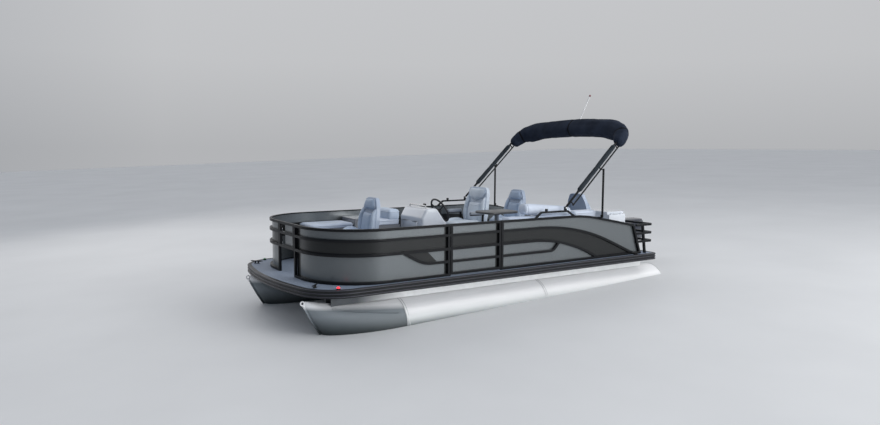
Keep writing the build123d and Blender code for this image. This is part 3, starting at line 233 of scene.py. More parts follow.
# A cord of even thickness round a closed outline that lies in a plane.
def pipingShape(outline, origin, ax, ay, height, radius):
    ax, ay = np.asarray(ax, float), np.asarray(ay, float)
    normal = np.cross(ax, ay)
    path = np.asarray(origin, float) + outline[:, :1] * ax + outline[:, 1:] * ay + height * normal
    return sweepShape(path, circle(radius, 8), normal, closed=True)


# A shape turned and moved by a matrix, and a shape mirrored to the other side of the boat.
def moved(shape, matrix):
    verts, quads, tris = shape
    m = np.asarray(matrix, float)
    return verts @ m[:3, :3].T + m[:3, 3], quads, tris


def mirrored(shape):
    verts, quads, tris = shape
    return verts * [1, -1, 1], quads[:, ::-1], tris[:, ::-1]


# Where a piece drawn about the origin goes: turned about the upright, or set on three axes.
def placeAt(x, y, turn):
    return Matrix.Translation(Vector(at(x, y, 0))) @ Matrix.Rotation(math.radians(turn), 4, "Z")


def placeOn(ax, ay, az, origin):
    matrix = Matrix([tuple(axis) for axis in (ax, ay, az)]).transposed().to_4x4()
    matrix.translation = Vector(origin)
    return matrix


def makeMesh(name, shape):
    verts, quads, tris = shape
    mesh = bpy.data.meshes.new(name)
    mesh.vertices.add(len(verts))
    mesh.vertices.foreach_set("co", np.asarray(verts, np.float32).ravel())
    loops = np.concatenate([quads.ravel(), tris.ravel()]).astype(np.int32)
    totals = np.concatenate([np.full(len(quads), 4), np.full(len(tris), 3)]).astype(np.int32)
    mesh.loops.add(len(loops))
    mesh.loops.foreach_set("vertex_index", loops)
    mesh.polygons.add(len(totals))
    mesh.polygons.foreach_set("loop_start", np.concatenate([[0], np.cumsum(totals)[:-1]]).astype(np.int32))
    mesh.update(calc_edges=True)
    mesh.validate()
    return mesh


def addObject(name, data):
    thing = bpy.data.objects.new(name, data)
    bpy.context.scene.collection.objects.link(thing)
    return thing


# A finished piece: its mesh, its paint, the body it rides on and the solids it stands for.
def makePiece(name, shapes, ink, body="hull", replaces=(), sharp=38):
    mesh = makeMesh(name, joinShapes(shapes) if isinstance(shapes, list) else shapes)
    mesh.shade_smooth()
    mesh.set_sharp_from_angle(angle=math.radians(sharp))
    mesh.materials.append(paint[ink])
    piece = addObject(name, mesh)
    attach(piece, body)
    if replaces:
        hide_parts(*([replaces] if isinstance(replaces, str) else replaces))
    return piece


# Materials: a node's value may be a number, a colour or another node's output.
def setInput(tree, socket, value):
    if isinstance(value, bpy.types.NodeSocket):
        tree.links.new(value, socket)
    else:
        socket.default_value = value


def addNode(tree, kind, values=(), **more):
    node = tree.nodes.new(kind)
    for key, value in dict(values, **more).items():
        if key in node.inputs:
            setInput(tree, node.inputs[key], value)
        else:
            setattr(node, key, value)
    return node


def mathNode(tree, operation, *terms):
    node = addNode(tree, "ShaderNodeMath", operation=operation)
    for socket, term in zip(node.inputs, terms):
        setInput(tree, socket, term)
    return node.outputs["Value"]


def newMaterial(name, values=(), **more):
    material = bpy.data.materials.new(name)
    material.use_nodes = True
    shader = material.node_tree.nodes["Principled BSDF"]
    for key, value in dict(values, **more).items():
        shader.inputs[key].default_value = value
    return material, material.node_tree, shader


def objectPoints(tree, scale=(1, 1, 1)):
    place = addNode(tree, "ShaderNodeTexCoord").outputs["Object"]
    return addNode(tree, "ShaderNodeMapping", Scale=scale, Vector=place).outputs["Vector"]


def splitPoints(tree):
    return addNode(tree, "ShaderNodeSeparateXYZ", Vector=objectPoints(tree)).outputs


def noiseField(tree, scale, detail=4.0, rough=0.55, stretch=(1, 1, 1)):
    return addNode(tree, "ShaderNodeTexNoise", Scale=scale, Detail=detail, Roughness=rough,
                   Vector=objectPoints(tree, stretch)).outputs["Fac"]


def ramp(tree, field, stops):
    node = addNode(tree, "ShaderNodeValToRGB", Fac=field)
    while len(node.color_ramp.elements) < len(stops):
        node.color_ramp.elements.new(0.5)
    for element, (place, colour) in zip(node.color_ramp.elements, stops):
        element.position = place
        element.color = (*colour, 1)
    return node.outputs["Color"]


def rampValue(tree, field, low, high, start=0.3, end=0.7):
    values = {"Value": field, "From Min": start, "From Max": end, "To Min": low, "To Max": high}
    return addNode(tree, "ShaderNodeMapRange", values).outputs["Result"]


def bumped(tree, shader, field, strength, distance, normal=None):
    bump = addNode(tree, "ShaderNodeBump", Strength=strength, Distance=distance, Height=field)
    if normal:
        tree.links.new(normal, bump.inputs["Normal"])
    tree.links.new(bump.outputs["Normal"], shader.inputs["Normal"])
    return bump.outputs["Normal"]


# One colour multiplied by another that runs from one stop to the next along a field.
def tinted(tree, colour, field, stops, share=1.0):
    return addNode(tree, "ShaderNodeMix", data_type="RGBA", blend_type="MULTIPLY", Factor=share,
                   A=colour, B=ramp(tree, field, stops)).outputs["Result"]


# Colour that runs from a darker shade to the full one along a field, with roughness that follows it.
def clouded(tree, shader, field, colour, shade, rough, smoothest, roughest):
    stops = [(0.3, tuple(c * shade for c in colour)), (0.7, colour)]
    tree.links.new(ramp(tree, field, stops), shader.inputs["Base Color"])
    tree.links.new(rampValue(tree, field, rough * smoothest, rough * roughest), shader.inputs["Roughness"])


# Rolled aluminium: fine streaks along the tube, dull patches, and painted shade that darkens it towards the
# keel. The noses are brushed and have no mill shine; below their top edge, which rises with X, they are
# darkened partly for that finish and partly as painted shade, and the top edge stays bright as a painted
# reflection.
tubeLook = {"nose": 4.40, "keelShade": (0.37, 0.56), "edge": (0.555, 0.600), "rise": 0.07, "noseDull": 0.10,
            "noseFinishAndShade": (0.24, 0.27, 0.29),
            "keelShadeTints": [(0.0, (0.13, 0.15, 0.15)), (0.4, (0.43, 0.45, 0.45)), (1.0, (1, 1, 1))]}


def tubeMetal():
    material, tree, shader = newMaterial("tube metal", Metallic=0.22)
    along = noiseField(tree, 5, 5, 0.6, (0.35, 7, 7))
    patches = noiseField(tree, 1.3, 3, stretch=(0.6, 1, 1))
    place = splitPoints(tree)
    noseX, rise = sternX + tubeLook["nose"], tubeLook["rise"]
    # painted shade: the tube's colour falls off towards the keel between these heights
    height = rampValue(tree, place["Z"], 0, 1, *tubeLook["keelShade"])
    slant = mathNode(tree, "MULTIPLY_ADD", place["X"], -rise, place["Z"])
    edge = rampValue(tree, slant, 1, 0, *(up - rise * noseX for up in tubeLook["edge"]))
    ahead = rampValue(tree, place["X"], 0, 1, noseX, noseX + 0.02)
    colour = ramp(tree, along, [(0.25, (0.90, 0.91, 0.92)), (0.75, (0.96, 0.96, 0.97))])
    colour = tinted(tree, colour, height, tubeLook["keelShadeTints"])
    # the nose below its top edge: darker finish plus painted shade; the top edge left bright as a painted
    # reflection of the sky
    colour = tinted(tree, colour, mathNode(tree, "MULTIPLY", ahead, edge),
                    [(0.0, (1, 1, 1)), (1.0, tubeLook["noseFinishAndShade"])])
    tree.links.new(colour, shader.inputs["Base Color"])
    dull = mathNode(tree, "MULTIPLY_ADD", ahead, tubeLook["noseDull"], rampValue(tree, patches, 0.36, 0.46))
    tree.links.new(dull, shader.inputs["Roughness"])
    bumped(tree, shader, along, 0.05, 0.001)
    return material


# Coated or bare metal: cloudy colour and roughness with a fine grain.
def plainMetal(name, colour, rough, metallic=1.0, shine=0.5):
    material, tree, shader = newMaterial(name, {"Specular IOR Level": shine}, Metallic=metallic)
    clouded(tree, shader, noiseField(tree, 9, 5), colour, 0.86, rough, 0.85, 1.2)
    bumped(tree, shader, noiseField(tree, 120, 2), 0.06, 0.0008)
    return material


# Riser plate: pale coat, darkened ahead of the tubes' seam by a painted shadow of the deck.
def riserPaint():
    material, tree, shader = newMaterial("riser paint", Metallic=0.25, Roughness=0.45)
    ahead = rampValue(tree, splitPoints(tree)["X"], 0, 1, sternX + 4.30, sternX + 4.95)
    colour = ramp(tree, noiseField(tree, 9, 5), [(0.3, (0.84, 0.85, 0.85)), (0.7, (0.93, 0.94, 0.94))])
    # painted shadow: the riser's colour darkened towards the bow
    colour = tinted(tree, colour, ahead, [(0.0, (1, 1, 1)), (1.0, (0.10, 0.11, 0.12))])
    tree.links.new(colour, shader.inputs["Base Color"])
    bumped(tree, shader, noiseField(tree, 120, 2), 0.06, 0.0008)
    return material


# Metallic lacquer: dark and pale flakes under a clear coat, with slight unevenness of the sheet.
def panelPaint(name, dark, pale, coat=0.6, shine=0.5):
    material, tree, shader = newMaterial(
        name, {"Coat Weight": coat, "Coat Roughness": 0.12, "Specular IOR Level": shine}, Metallic=0.55)
    sheet = noiseField(tree, 1.5, 3, stretch=(0.6, 0.6, 1.5))
    tree.links.new(ramp(tree, noiseField(tree, 900, 1), [(0.35, dark), (0.65, pale)]),
                   shader.inputs["Base Color"])
    tree.links.new(rampValue(tree, sheet, 0.30, 0.38), shader.inputs["Roughness"])
    bumped(tree, shader, sheet, 0.12, 0.02)
    return material


# Moulded plastic: cloudy colour and a fine leathery grain.
def satinPlastic(name, colour, rough=0.42, shine=0.5):
    material, tree, shader = newMaterial(name, {"Specular IOR Level": shine})
    clouded(tree, shader, noiseField(tree, 5, 4), colour, 0.85, rough, 0.85, 1.15)
    bumped(tree, shader, noiseField(tree, 260, 2), 0.12, 0.0006)
    return material


# Moulded gel coat: a glossy coat over slightly wavy plastic.
def gelCoat(name, colour, rough=0.22):
    material, tree, shader = newMaterial(name, {"Coat Weight": 0.7, "Coat Roughness": 0.06})
    waves = noiseField(tree, 3, 4)
    clouded(tree, shader, waves, colour, 0.92, rough, 0.8, 1.3)
    bumped(tree, shader, waves, 0.06, 0.02)
    return material


# Seat vinyl: leather-like cells and creases, a soft sheen, and colour that is darker in cloudy patches at
# random.
def seatVinyl(name, colour, rough=0.46):
    material, tree, shader = newMaterial(name, {"Sheen Weight": 0.12, "Sheen Roughness": 0.4})
    cells = addNode(tree, "ShaderNodeTexVoronoi", Scale=420, Vector=objectPoints(tree))
    clouded(tree, shader, noiseField(tree, 4, 5), colour, 0.84, rough, 0.85, 1.2)
    first = bumped(tree, shader, cells.outputs["Distance"], 0.22, 0.0006)
    bumped(tree, shader, noiseField(tree, 26, 4), 0.18, 0.004, first)
    return material


# Woven cloth: two crossed waves make the threads, and broad noise the faded places.
def wovenCloth(name, dark, pale, thread=900, sheen=0.3):
    material, tree, shader = newMaterial(
        name, {"Sheen Weight": sheen, "Specular IOR Level": 0.15}, Roughness=0.85)
    waves = [addNode(tree, "ShaderNodeTexWave", Scale=0.5, Distortion=0.4, bands_direction="DIAGONAL",
                     Vector=objectPoints(tree, tuple(thread * c for c in turn))).outputs["Fac"]
             for turn in ((1, 0.25, 0), (0, 0.25, 1))]
    tree.links.new(ramp(tree, noiseField(tree, 5, 6), [(0.3, dark), (0.75, pale)]),
                   shader.inputs["Base Color"])
    first = bumped(tree, shader, mathNode(tree, "MULTIPLY", *waves), 0.35, 0.0006)
    bumped(tree, shader, noiseField(tree, 22, 5), 0.35, 0.006, first)
    return material


# Deck vinyl: a tight basket weave in two blue grays on top, and bare board below.
def deckVinyl():
    material, tree, shader = newMaterial("deck vinyl", Roughness=0.62)
    weave = addNode(tree, "ShaderNodeTexChecker", Scale=160, Color1=(0.30, 0.36, 0.46, 1),
                    Color2=(0.23, 0.28, 0.37, 1), Vector=objectPoints(tree)).outputs
    stained = tinted(tree, weave["Color"], noiseField(tree, 2.2, 6),
                     [(0.3, (0.80, 0.80, 0.80)), (0.7, (1, 1, 1))], 0.5)
    above = mathNode(tree, "GREATER_THAN", splitPoints(tree)["Z"], deckTop - 0.004)
    skin = addNode(tree, "ShaderNodeMix", data_type="RGBA", Factor=above, A=(0.62, 0.63, 0.64, 1),
                   B=stained).outputs["Result"]
    tree.links.new(skin, shader.inputs["Base Color"])
    bumped(tree, shader, weave["Fac"], 0.25, 0.0008)
    return material


# Lamp lenses: clear coloured plastic with a faint ripple.
def lensMaterial(name, colour, glow):
    material, tree, shader = newMaterial(name, {
        "Coat Weight": 1.0, "Base Color": (*colour, 1), "Emission Color": (*colour, 1),
        "Emission Strength": glow}, Roughness=0.12)
    bumped(tree, shader, noiseField(tree, 300, 1), 0.1, 0.0008)
    return material


paint = {
    "tube": tubeMetal(),
    "riser": riserPaint(),
    "mill": plainMetal("mill aluminium", (0.70, 0.71, 0.72), 0.45, metallic=0.5),
    "frame": plainMetal("rail coat", (0.008, 0.009, 0.011), 0.36, metallic=0.0, shine=0.17),
    "panel": panelPaint("panel paint", (0.094, 0.104, 0.110), (0.172, 0.192, 0.202), 0.45),
    "band": panelPaint("band paint", (0.012, 0.013, 0.013), (0.026, 0.028, 0.029), 0.20, 0.35),
    "trim": satinPlastic("rub rail plastic", (0.006, 0.008, 0.010), 0.36, shine=0.34),
    "weld": plainMetal("weld bead", (0.60, 0.61, 0.62), 0.45),
    "rib": satinPlastic("rib highlight paint", (0.075, 0.075, 0.092), 0.42, shine=0.3),
    "steel": plainMetal("stainless", (0.62, 0.62, 0.62), 0.25),
    "blackMetal": plainMetal("black metal", (0.009, 0.009, 0.010), 0.40, metallic=0.0, shine=0.3),
    "deck": deckVinyl(),
    "shell": gelCoat("white shell", (0.76, 0.80, 0.86)),
    "shellGray": gelCoat("gray shell", (0.20, 0.21, 0.23)),
    "cushion": seatVinyl("cushion vinyl", (0.72, 0.79, 0.90)),
    "chair": seatVinyl("chair vinyl", (0.47, 0.58, 0.74)),
    "chairPale": seatVinyl("pale chair vinyl", (0.76, 0.84, 0.93)),
    "chairRim": seatVinyl("rim vinyl", (0.58, 0.68, 0.82)),
    "chairRimShell": satinPlastic("chair shell", (0.44, 0.52, 0.65), 0.36),
    "chairPaleShell": satinPlastic("helm chair shell", (0.66, 0.74, 0.84), 0.36),
    "armPad": seatVinyl("arm pad vinyl", (0.30, 0.33, 0.38)),
    "white": seatVinyl("white vinyl", (0.66, 0.73, 0.85)),
    "lavender": seatVinyl("lavender vinyl", (0.58, 0.66, 0.80)),
    "piping": seatVinyl("piping vinyl", (0.60, 0.67, 0.78)),
    "helm": satinPlastic("helm plastic", (0.025, 0.025, 0.028), 0.34),
    "pedestal": plainMetal("pedestal metal", (0.34, 0.35, 0.36), 0.35),
    "table": satinPlastic("table top", (0.100, 0.100, 0.102), 0.36),
    "canopyTube": plainMetal("canopy tube", (0.008, 0.009, 0.011), 0.34, metallic=0.0, shine=0.2),
    "sleeve": wovenCloth("sleeve cloth", (0.020, 0.026, 0.032), (0.040, 0.050, 0.060), 900, 0.04),
    "boot": wovenCloth("boot cloth", (0.0140, 0.0200, 0.0340), (0.0290, 0.0390, 0.0640), 900, 0.0),
    "webbing": wovenCloth("webbing", (0.003, 0.003, 0.005), (0.008, 0.008, 0.011), 500, 0.0),
    "cowl": gelCoat("cowl paint", (0.010, 0.014, 0.030), 0.16),
    "motor": gelCoat("motor paint", (0.012, 0.014, 0.022), 0.26),
    "propeller": plainMetal("propeller paint", (0.02, 0.02, 0.024), 0.30, metallic=0.3),
    "whitePlastic": satinPlastic("white plastic", (0.75, 0.75, 0.76), 0.30),
    "red": lensMaterial("red lens", (0.85, 0.02, 0.03), 3.0),
    "redCap": lensMaterial("red cap", (0.16, 0.015, 0.025), 0.0),
    "green": lensMaterial("green lens", (0.02, 0.22, 0.08), 0.1),
    "dial": satinPlastic("dial face", (0.60, 0.62, 0.64), 0.25),
    "dash": satinPlastic("dash panel", (0.020, 0.021, 0.024), 0.28),
    "spoke": plainMetal("wheel spokes", (0.050, 0.052, 0.056), 0.30, metallic=0.5),
    "cowlTrim": satinPlastic("cowl trim", (0.12, 0.13, 0.15), 0.30),
    "screen": satinPlastic("screen glass", (0.010, 0.014, 0.020), 0.08),
}

# Paint and edge round of each solid, by the first of these words that its name holds.
solidPaint = {
    "tube": "tube", "risers": "riser", "cross_members": "mill", "deck_trim": "trim", "pod": "mill",
    "cleats": "blackMetal", "light_starboard": "green", "nav_light": "red", "hinges": "steel",
    "bench_base": "shellGray", "lounge_base": "shellGray", "console": "shell", "station": "shell",
    "bench": "cushion", "lounge": "cushion", "column": "helm", "wheel": "helm",
    "pedestal": "pedestal", "table": "table", "sleeves": "sleeve", "boot": "boot",
    "canopy": "canopyTube", "round_light": "whitePlastic", "cowl": "cowl", "outboard": "motor",
    "propeller": "propeller", "deck": "deck", "frame": "frame", "panel": "panel", "band": "band",
    "helm_chair": "chairPale", "chair": "chair", "gate": "frame",
}
edgeRounds = {
    "panel": 0, "band": 0, "fence": 0.0028, "gate": 0.0024, "hinges": 0.0012, "bracket": 0.003,
    "arms": 0.002, "pod": 0.006, "station": 0.010, "base": 0.008, "console": 0.004, "column": 0.003,
    "outboard": 0.006, "propeller": 0.002, "risers": 0.0015, "members": 0.0015, "table": 0.006,
    "pedestals": 0.003, "leg": 0.002, "light": 0.002,
}


# Every solid takes its paint. The rigid ones get rounded edges too: their loose triangles are
# merged, then every edge sharper than 30 degrees gets a small round.
def dressSolids():
    for nodeName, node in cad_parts.items():
        ink = next(value for key, value in solidPaint.items() if key in nodeName)
        node.data.materials.clear()
        node.data.materials.append(paint[ink])
        width = next((value for key, value in edgeRounds.items() if key in nodeName), 0)
        if width:
            weld = node.modifiers.new("weld", "WELD")
            weld.merge_threshold = 0.00002
            bevel = node.modifiers.new("round", "BEVEL")
            bevel.width = width
            bevel.segments = 2
            bevel.limit_method = "ANGLE"
            bevel.angle_limit = math.radians(30)
            bevel.harden_normals = True


dressSolids()
print("materials made and edges rounded")


# Padded covers: the closed shape is remeshed evenly, blown up as cloth, and each point is let out
# by no more than the cap; points near the floor of the pad stay where they are.
puff = {"pressure": 4.0, "frames": 16, "quality": 4, "hold": 0.008}


def readPoints(mesh):
    points = np.empty(len(mesh.vertices) * 3, np.float32)
    mesh.vertices.foreach_get("co", points)
    return points.reshape(-1, 3)


def makePadded(name, shapes, ink, body="hull", cap=0.010, voxel=0.007, pinned=True, replaces=()):
    piece = makePiece(name, shapes, ink, body, replaces=replaces, sharp=180)
    remesh = piece.modifiers.new("even", "REMESH")
    remesh.mode = "VOXEL"
    remesh.voxel_size = voxel
    remesh.use_smooth_shade = True
    graph = bpy.context.evaluated_depsgraph_get()
    mesh = bpy.data.meshes.new_from_object(piece.evaluated_get(graph))
    piece.modifiers.remove(remesh)
    piece.data = mesh
    rest = readPoints(mesh)
    floor = rest[:, 2].min() if pinned else -math.inf
    group = piece.vertex_groups.new(name="held")
    group.add(np.nonzero(rest[:, 2] < floor + puff["hold"])[0].tolist(), 1.0, "REPLACE")
    cloth = piece.modifiers.new("cloth", "CLOTH")
    cloth.settings.use_pressure = True
    cloth.settings.uniform_pressure_force = puff["pressure"]
    cloth.settings.effector_weights.gravity = 0
    cloth.settings.quality = puff["quality"]
    cloth.settings.vertex_group_mass = "held"
    cloth.collision_settings.use_collision = False
    for number in range(1, puff["frames"] + 1):
        bpy.context.scene.frame_set(number)
    blown = piece.evaluated_get(bpy.context.evaluated_depsgraph_get())
    shift = readPoints(blown.to_mesh()) - rest
    far = np.linalg.norm(shift, axis=1)
    shift = shift * (np.minimum(far, cap) / np.maximum(far, 1e-9))[:, None]
    blown.to_mesh_clear()
    piece.modifiers.remove(cloth)
    piece.vertex_groups.remove(group)
    mesh.vertices.foreach_set("co", (rest + shift).astype(np.float32).ravel())
    bpy.context.scene.frame_set(1)
    if not mesh.materials:
        mesh.materials.append(paint[ink])
    mesh.shade_smooth()
    soften = piece.modifiers.new("soften", "SUBSURF")
    soften.levels = soften.render_levels = 1
    print("padded", name, len(piece.data.vertices))
    return piece


# The deck's outline at an inset: straight sides, rounded stern corners, and a bow that is an arc
# whose corners are arcs touching it and the sides. It runs forward along the port side.
deckLine = {"arc": 4.200, "corner": 0.500, "stern": 0.090, "steps": 26}


def deckOutline(inset):
    half = boat["halfBeam"] - inset
    centre = boat["deckLong"] - deckLine["arc"]
    arc, corner, stern = [deckLine[part] - inset for part in ("arc", "corner", "stern")]
    cornerX = centre + math.sqrt((arc - corner) ** 2 - (half - corner) ** 2)
    tilt = math.atan2(half - corner, cornerX - centre)
    turn = np.linspace(math.pi / 2, tilt, deckLine["steps"])
    bend = np.stack([cornerX + corner * np.cos(turn), half - corner + corner * np.sin(turn)], axis=1)
    turn = np.linspace(tilt, 0, 30)[1:]
    bow = np.stack([centre + arc * np.cos(turn), arc * np.sin(turn)], axis=1)
    turn = np.linspace(math.pi, math.pi / 2, 9)
    aft = np.stack([inset + stern + stern * np.cos(turn), half - stern + stern * np.sin(turn)], axis=1)
    side = np.linspace(aft[-1, 0], cornerX, 40)[1:-1]
    side = np.stack([side, np.full_like(side, half)], axis=1)
    portHalf = np.concatenate([aft, side, bend, bow])
    line = np.concatenate([portHalf, portHalf[-2::-1] * [1, -1]])
    return onBoat(np.concatenate([line, np.zeros((len(line), 1))], axis=1))


# Rub rail: a wall with three rounded ribs and a lip over the deck, carried round the outline. Each
# rib's edge is (reach - round + round * cos, half height * sin ** 0.6). A lighter strip under each rib's
# top edge is a painted highlight.
rubRail = {"inset": 0.016, "wall": 0.006, "rib": 0.020, "high": 0.093, "lip": 0.034, "proud": 0.003,
           "round": 0.006, "gap": 0.0003,
           # a lighter strip under each rib's top edge, as a painted highlight: out from the rib's reach, up
           # from its top
           "strip": [(-0.0075, -0.0025), (-0.0006, -0.0065), (0.0012, -0.0060), (-0.001, -0.0012),
                     (-0.0075, 0.0010)]}


def makeRubRail():
    path = deckOutline(rubRail["inset"])
    outward = np.cross(upward, np.roll(path, -1, axis=0) - np.roll(path, 1, axis=0))
    wall, rib, high, lip, proud = [rubRail[part] for part in ("wall", "rib", "high", "lip", "proud")]
    reach, bend, gap = rubRail["inset"], rubRail["round"], rubRail["gap"]
    profile, highlightStrips = [(gap, -high)], []
    for number in range(3):
        middle = -high + number * (rib + (high - 3 * rib) / 2) + rib / 2
        profile.append((wall, middle - rib / 2 + 0.0005))
        for a in np.linspace(-math.pi / 2, math.pi / 2, 7):
            profile.append((reach - bend + bend * math.cos(a),
                            middle + (rib / 2) * math.copysign(abs(math.sin(a)) ** 0.6, a)))
        profile.append((wall, middle + rib / 2 - 0.0005))
        strip = np.array(rubRail["strip"]) + [reach, middle + rib / 2]
        highlightStrips.append(sweepShape(path, strip, outward, closed=True))
    profile += [(0.004, proud), (0.003 - lip, proud), (-lip, proud - 0.002), (-lip, gap), (gap, gap)]
    rail = sweepShape(path, np.asarray(profile), outward, closed=True)
    makePiece("rub_rail", rail, "trim", replaces="deck_trim", sharp=34)
    # the lighter strips are painted highlights along the ribs' top edges
    makePiece("rub_rail_painted_highlights", highlightStrips, "rib", sharp=60)


makeRubRail()
print("rub rail made")


# Welds: a bead of small overlapping puddles round each seam, whose half width is
# bead * (0.75 + 0.35 * |sin|) round the tube.
welds = {
    # forward, out from the tube's radius
    "rows": [(-0.220, 0.000), (2.180, 0.003), (2.210, 0.003), (4.380, 0.003), (4.410, 0.003)],
    "bead": 0.0036, "puddles": 190, "points": 760,
}


def makeWelds():
    angle = around(welds["points"])
    swell = welds["bead"] * (0.75 + 0.35 * np.abs(np.sin(angle * welds["puddles"] / 2)))
    profile = circle(1.0, 6)[None] * swell[:, None, None]
    for side, name in ((1, "tube_welds_port"), (-1, "tube_welds_starboard")):
        shapes = []
        for x, rise in welds["rows"]:
            radius = boat["tubeRadius"] + rise
            ring = np.stack([np.full_like(angle, sternX + x),
                             side * boat["tubeY"] + radius * np.cos(angle),
                             boat["tubeZ"] + radius * np.sin(angle)], axis=1)
            shapes.append(sweepShape(ring, profile, (1, 0, 0), closed=True))
        makePiece(name, shapes, "weld")


# Tubes: rings along the boat. The nose's rings are ellipses between a bottom and a top line, whose
# half width follows a third line; all three run smoothly through keyed shares of its length.
tube = {
    "tail": -0.330, "cone": 0.110, "nose": 4.410, "tip": 5.560,
    # share of the tail cone, radius; its middle rises by coneLift towards the end
    "tailRings": [(0.0, 0.62), (0.06, 0.66), (0.5, 0.81), (1.0, 1.0)], "coneLift": 0.12,
    # share, half width, bottom, top: in radii from the tube's middle
    "rings": [(0.0, 1.0, -1.0, 1.0), (0.15, 0.985, -0.985, 1.0), (0.32, 0.92, -0.91, 1.0),
              (0.52, 0.765, -0.735, 1.005), (0.70, 0.56, -0.44, 1.05), (0.832, 0.36, -0.02, 1.12),
              (0.923, 0.19, 0.50, 1.19), (1.0, 0.035, 1.02, 1.25)],
    # each band: from, to, and how proud it stands
    "bands": [(2.180, 2.210), (4.380, 4.410)], "bandProud": 0.003, "bandEdge": 0.0015,
    # keel strip: from, to, half width, height; then its edge and corner
    "keel": (-0.170, 4.660, 0.022, 0.036), "keelRound": (0.004, 0.008),
    # stem bar: width, thickness, edge, and how far back and down from the eye it ends
    "stem": (0.044, 0.012, 0.003), "stemEnd": (0.020, 0.016),
    "eye": (5.594, 0.717), "eyeRadius": 0.022, "eyeSection": (0.016, 0.014, 0.005),
    # strake: from, to, size, and its place round the nose in degrees at its start and what it gains
    "strake": (4.500, 5.270), "strakeSize": (0.030, 0.007, 0.002), "strakeTurn": (36, 16),
    # points round a ring, rings along the plain part and along the nose
    "points": 112, "plainRings": 40, "noseRings": 70,
}


def makeTubes():
    radius, middle, y = boat["tubeRadius"], boat["tubeZ"], boat["tubeY"]
    nose, tip = tube["nose"], tube["tip"]
    angle = around(tube["points"])
    lift = tube["coneLift"]
    rows = [(tube["tail"] + tube["cone"] * share, size, lift * (1 - share) - size,
             lift * (1 - share) + size) for share, size in tube["tailRings"]]
    rows += [(x, 1.0, -1.0, 1.0)
             for x in np.linspace(tube["tail"] + tube["cone"] + 0.004, nose, tube["plainRings"])]
    keys = np.asarray(tube["rings"])
    noseRows = throughKeys(keys[:, 0], keys, np.linspace(0, 1, tube["noseRings"])[1:])
    rows += [(nose + share * (tip - nose), wide, low, high) for share, wide, low, high in noseRows]
    x, wide, low, high = np.asarray(rows).T
    z = middle + radius * (((high + low) / 2)[:, None] + ((high - low) / 2)[:, None] * np.sin(angle))
    skin = gridShape(np.stack([np.broadcast_to((sternX + x)[:, None], z.shape),
                               y + radius * wide[:, None] * np.cos(angle), z], axis=2))
    proud, edge = radius + tube["bandProud"], tube["bandEdge"]
    bands = [latheShape([(radius - 0.002, start), (proud, start + edge), (proud, end - edge),
                         (radius - 0.002, end)], (sternX, y, middle), (1, 0, 0), 96)
             for start, end in tube["bands"]]
    start, end, half, high = tube["keel"]
    keel = roundBox((sternX + start, y - half, 0.0), (sternX + end, y + half, high), *tube["keelRound"])
    # stem bar down the bottom line of the nose, and the eye at its head
    line = noseRows[28:]
    (eyeX, eyeZ), (back, down) = tube["eye"], tube["stemEnd"]
    path = np.stack([sternX + nose + line[:, 0] * (tip - nose), np.full(len(line), y),
                     middle + radius * line[:, 2]], axis=1)
    path = evenPath(np.concatenate([path, [(sternX + eyeX - back, y, eyeZ - down)]]), 60)
    stem = sweepShape(path, roundRect(*tube["stem"]), upward)
    a = around(40)
    ring = np.stack([sternX + eyeX - 0.002 + tube["eyeRadius"] * np.cos(a), np.full_like(a, y),
                     eyeZ + tube["eyeRadius"] * np.sin(a)], axis=1)
    eye = sweepShape(ring, roundRect(*tube["eyeSection"]), toPort, closed=True)
    # a strake along each side of the nose, on its ellipses
    start, end = tube["strake"]
    x = np.linspace(start, end, 40)
    share, wide, low, high = throughKeys(keys[:, 0], keys, (x - nose) / (tip - nose)).T
    turn = np.radians(tube["strakeTurn"][0] + tube["strakeTurn"][1] * (x - start) / (end - start))
    strakes = []
    for side in (1, -1):
        edge = np.stack([sternX + x, y + side * radius * wide * np.cos(turn),
                         middle + radius * ((high + low) / 2 + (high - low) / 2 * np.sin(turn))], axis=1)
        strakes.append(sweepShape(edge, roundRect(*tube["strakeSize"]), (0, side, -0.15)))
    shapes = [skin, keel, stem, eye] + bands + strakes
    makePiece("tube_skin_port", shapes, "tube", replaces="tube_port", sharp=40)
    makePiece("tube_skin_starboard", [mirrored(shape) for shape in shapes], "tube",
              replaces="tube_starboard", sharp=40)


# Mooring cleats: a foot with two posts, and a bar whose ends lift by lift * t ** 4 and whose
# thickness is drawn in by 0.45 * |t| ** 3, with t from -1 to 1 along it.
cleats = {
    "foot": (0.076, 0.034, 0.006), "bar": 0.088, "thick": 0.0085, "high": 0.031, "lift": 0.006,
    "post": [(0.0125, 0.004), (0.0095, 0.010), (0.0085, 0.020), (0.0098, 0.030)], "postX": 0.022,
    "screw": [(0.0045, 0.005), (0.0045, 0.0072), (0.002, 0.0080)], "screwPlace": (0.031, 0.010),
    # forward, to port, turn
    "places": [(5.455, 0.970, 45), (5.455, -0.970, -45), (0.420, 1.222, 0), (0.420, -1.222, 0)],
}


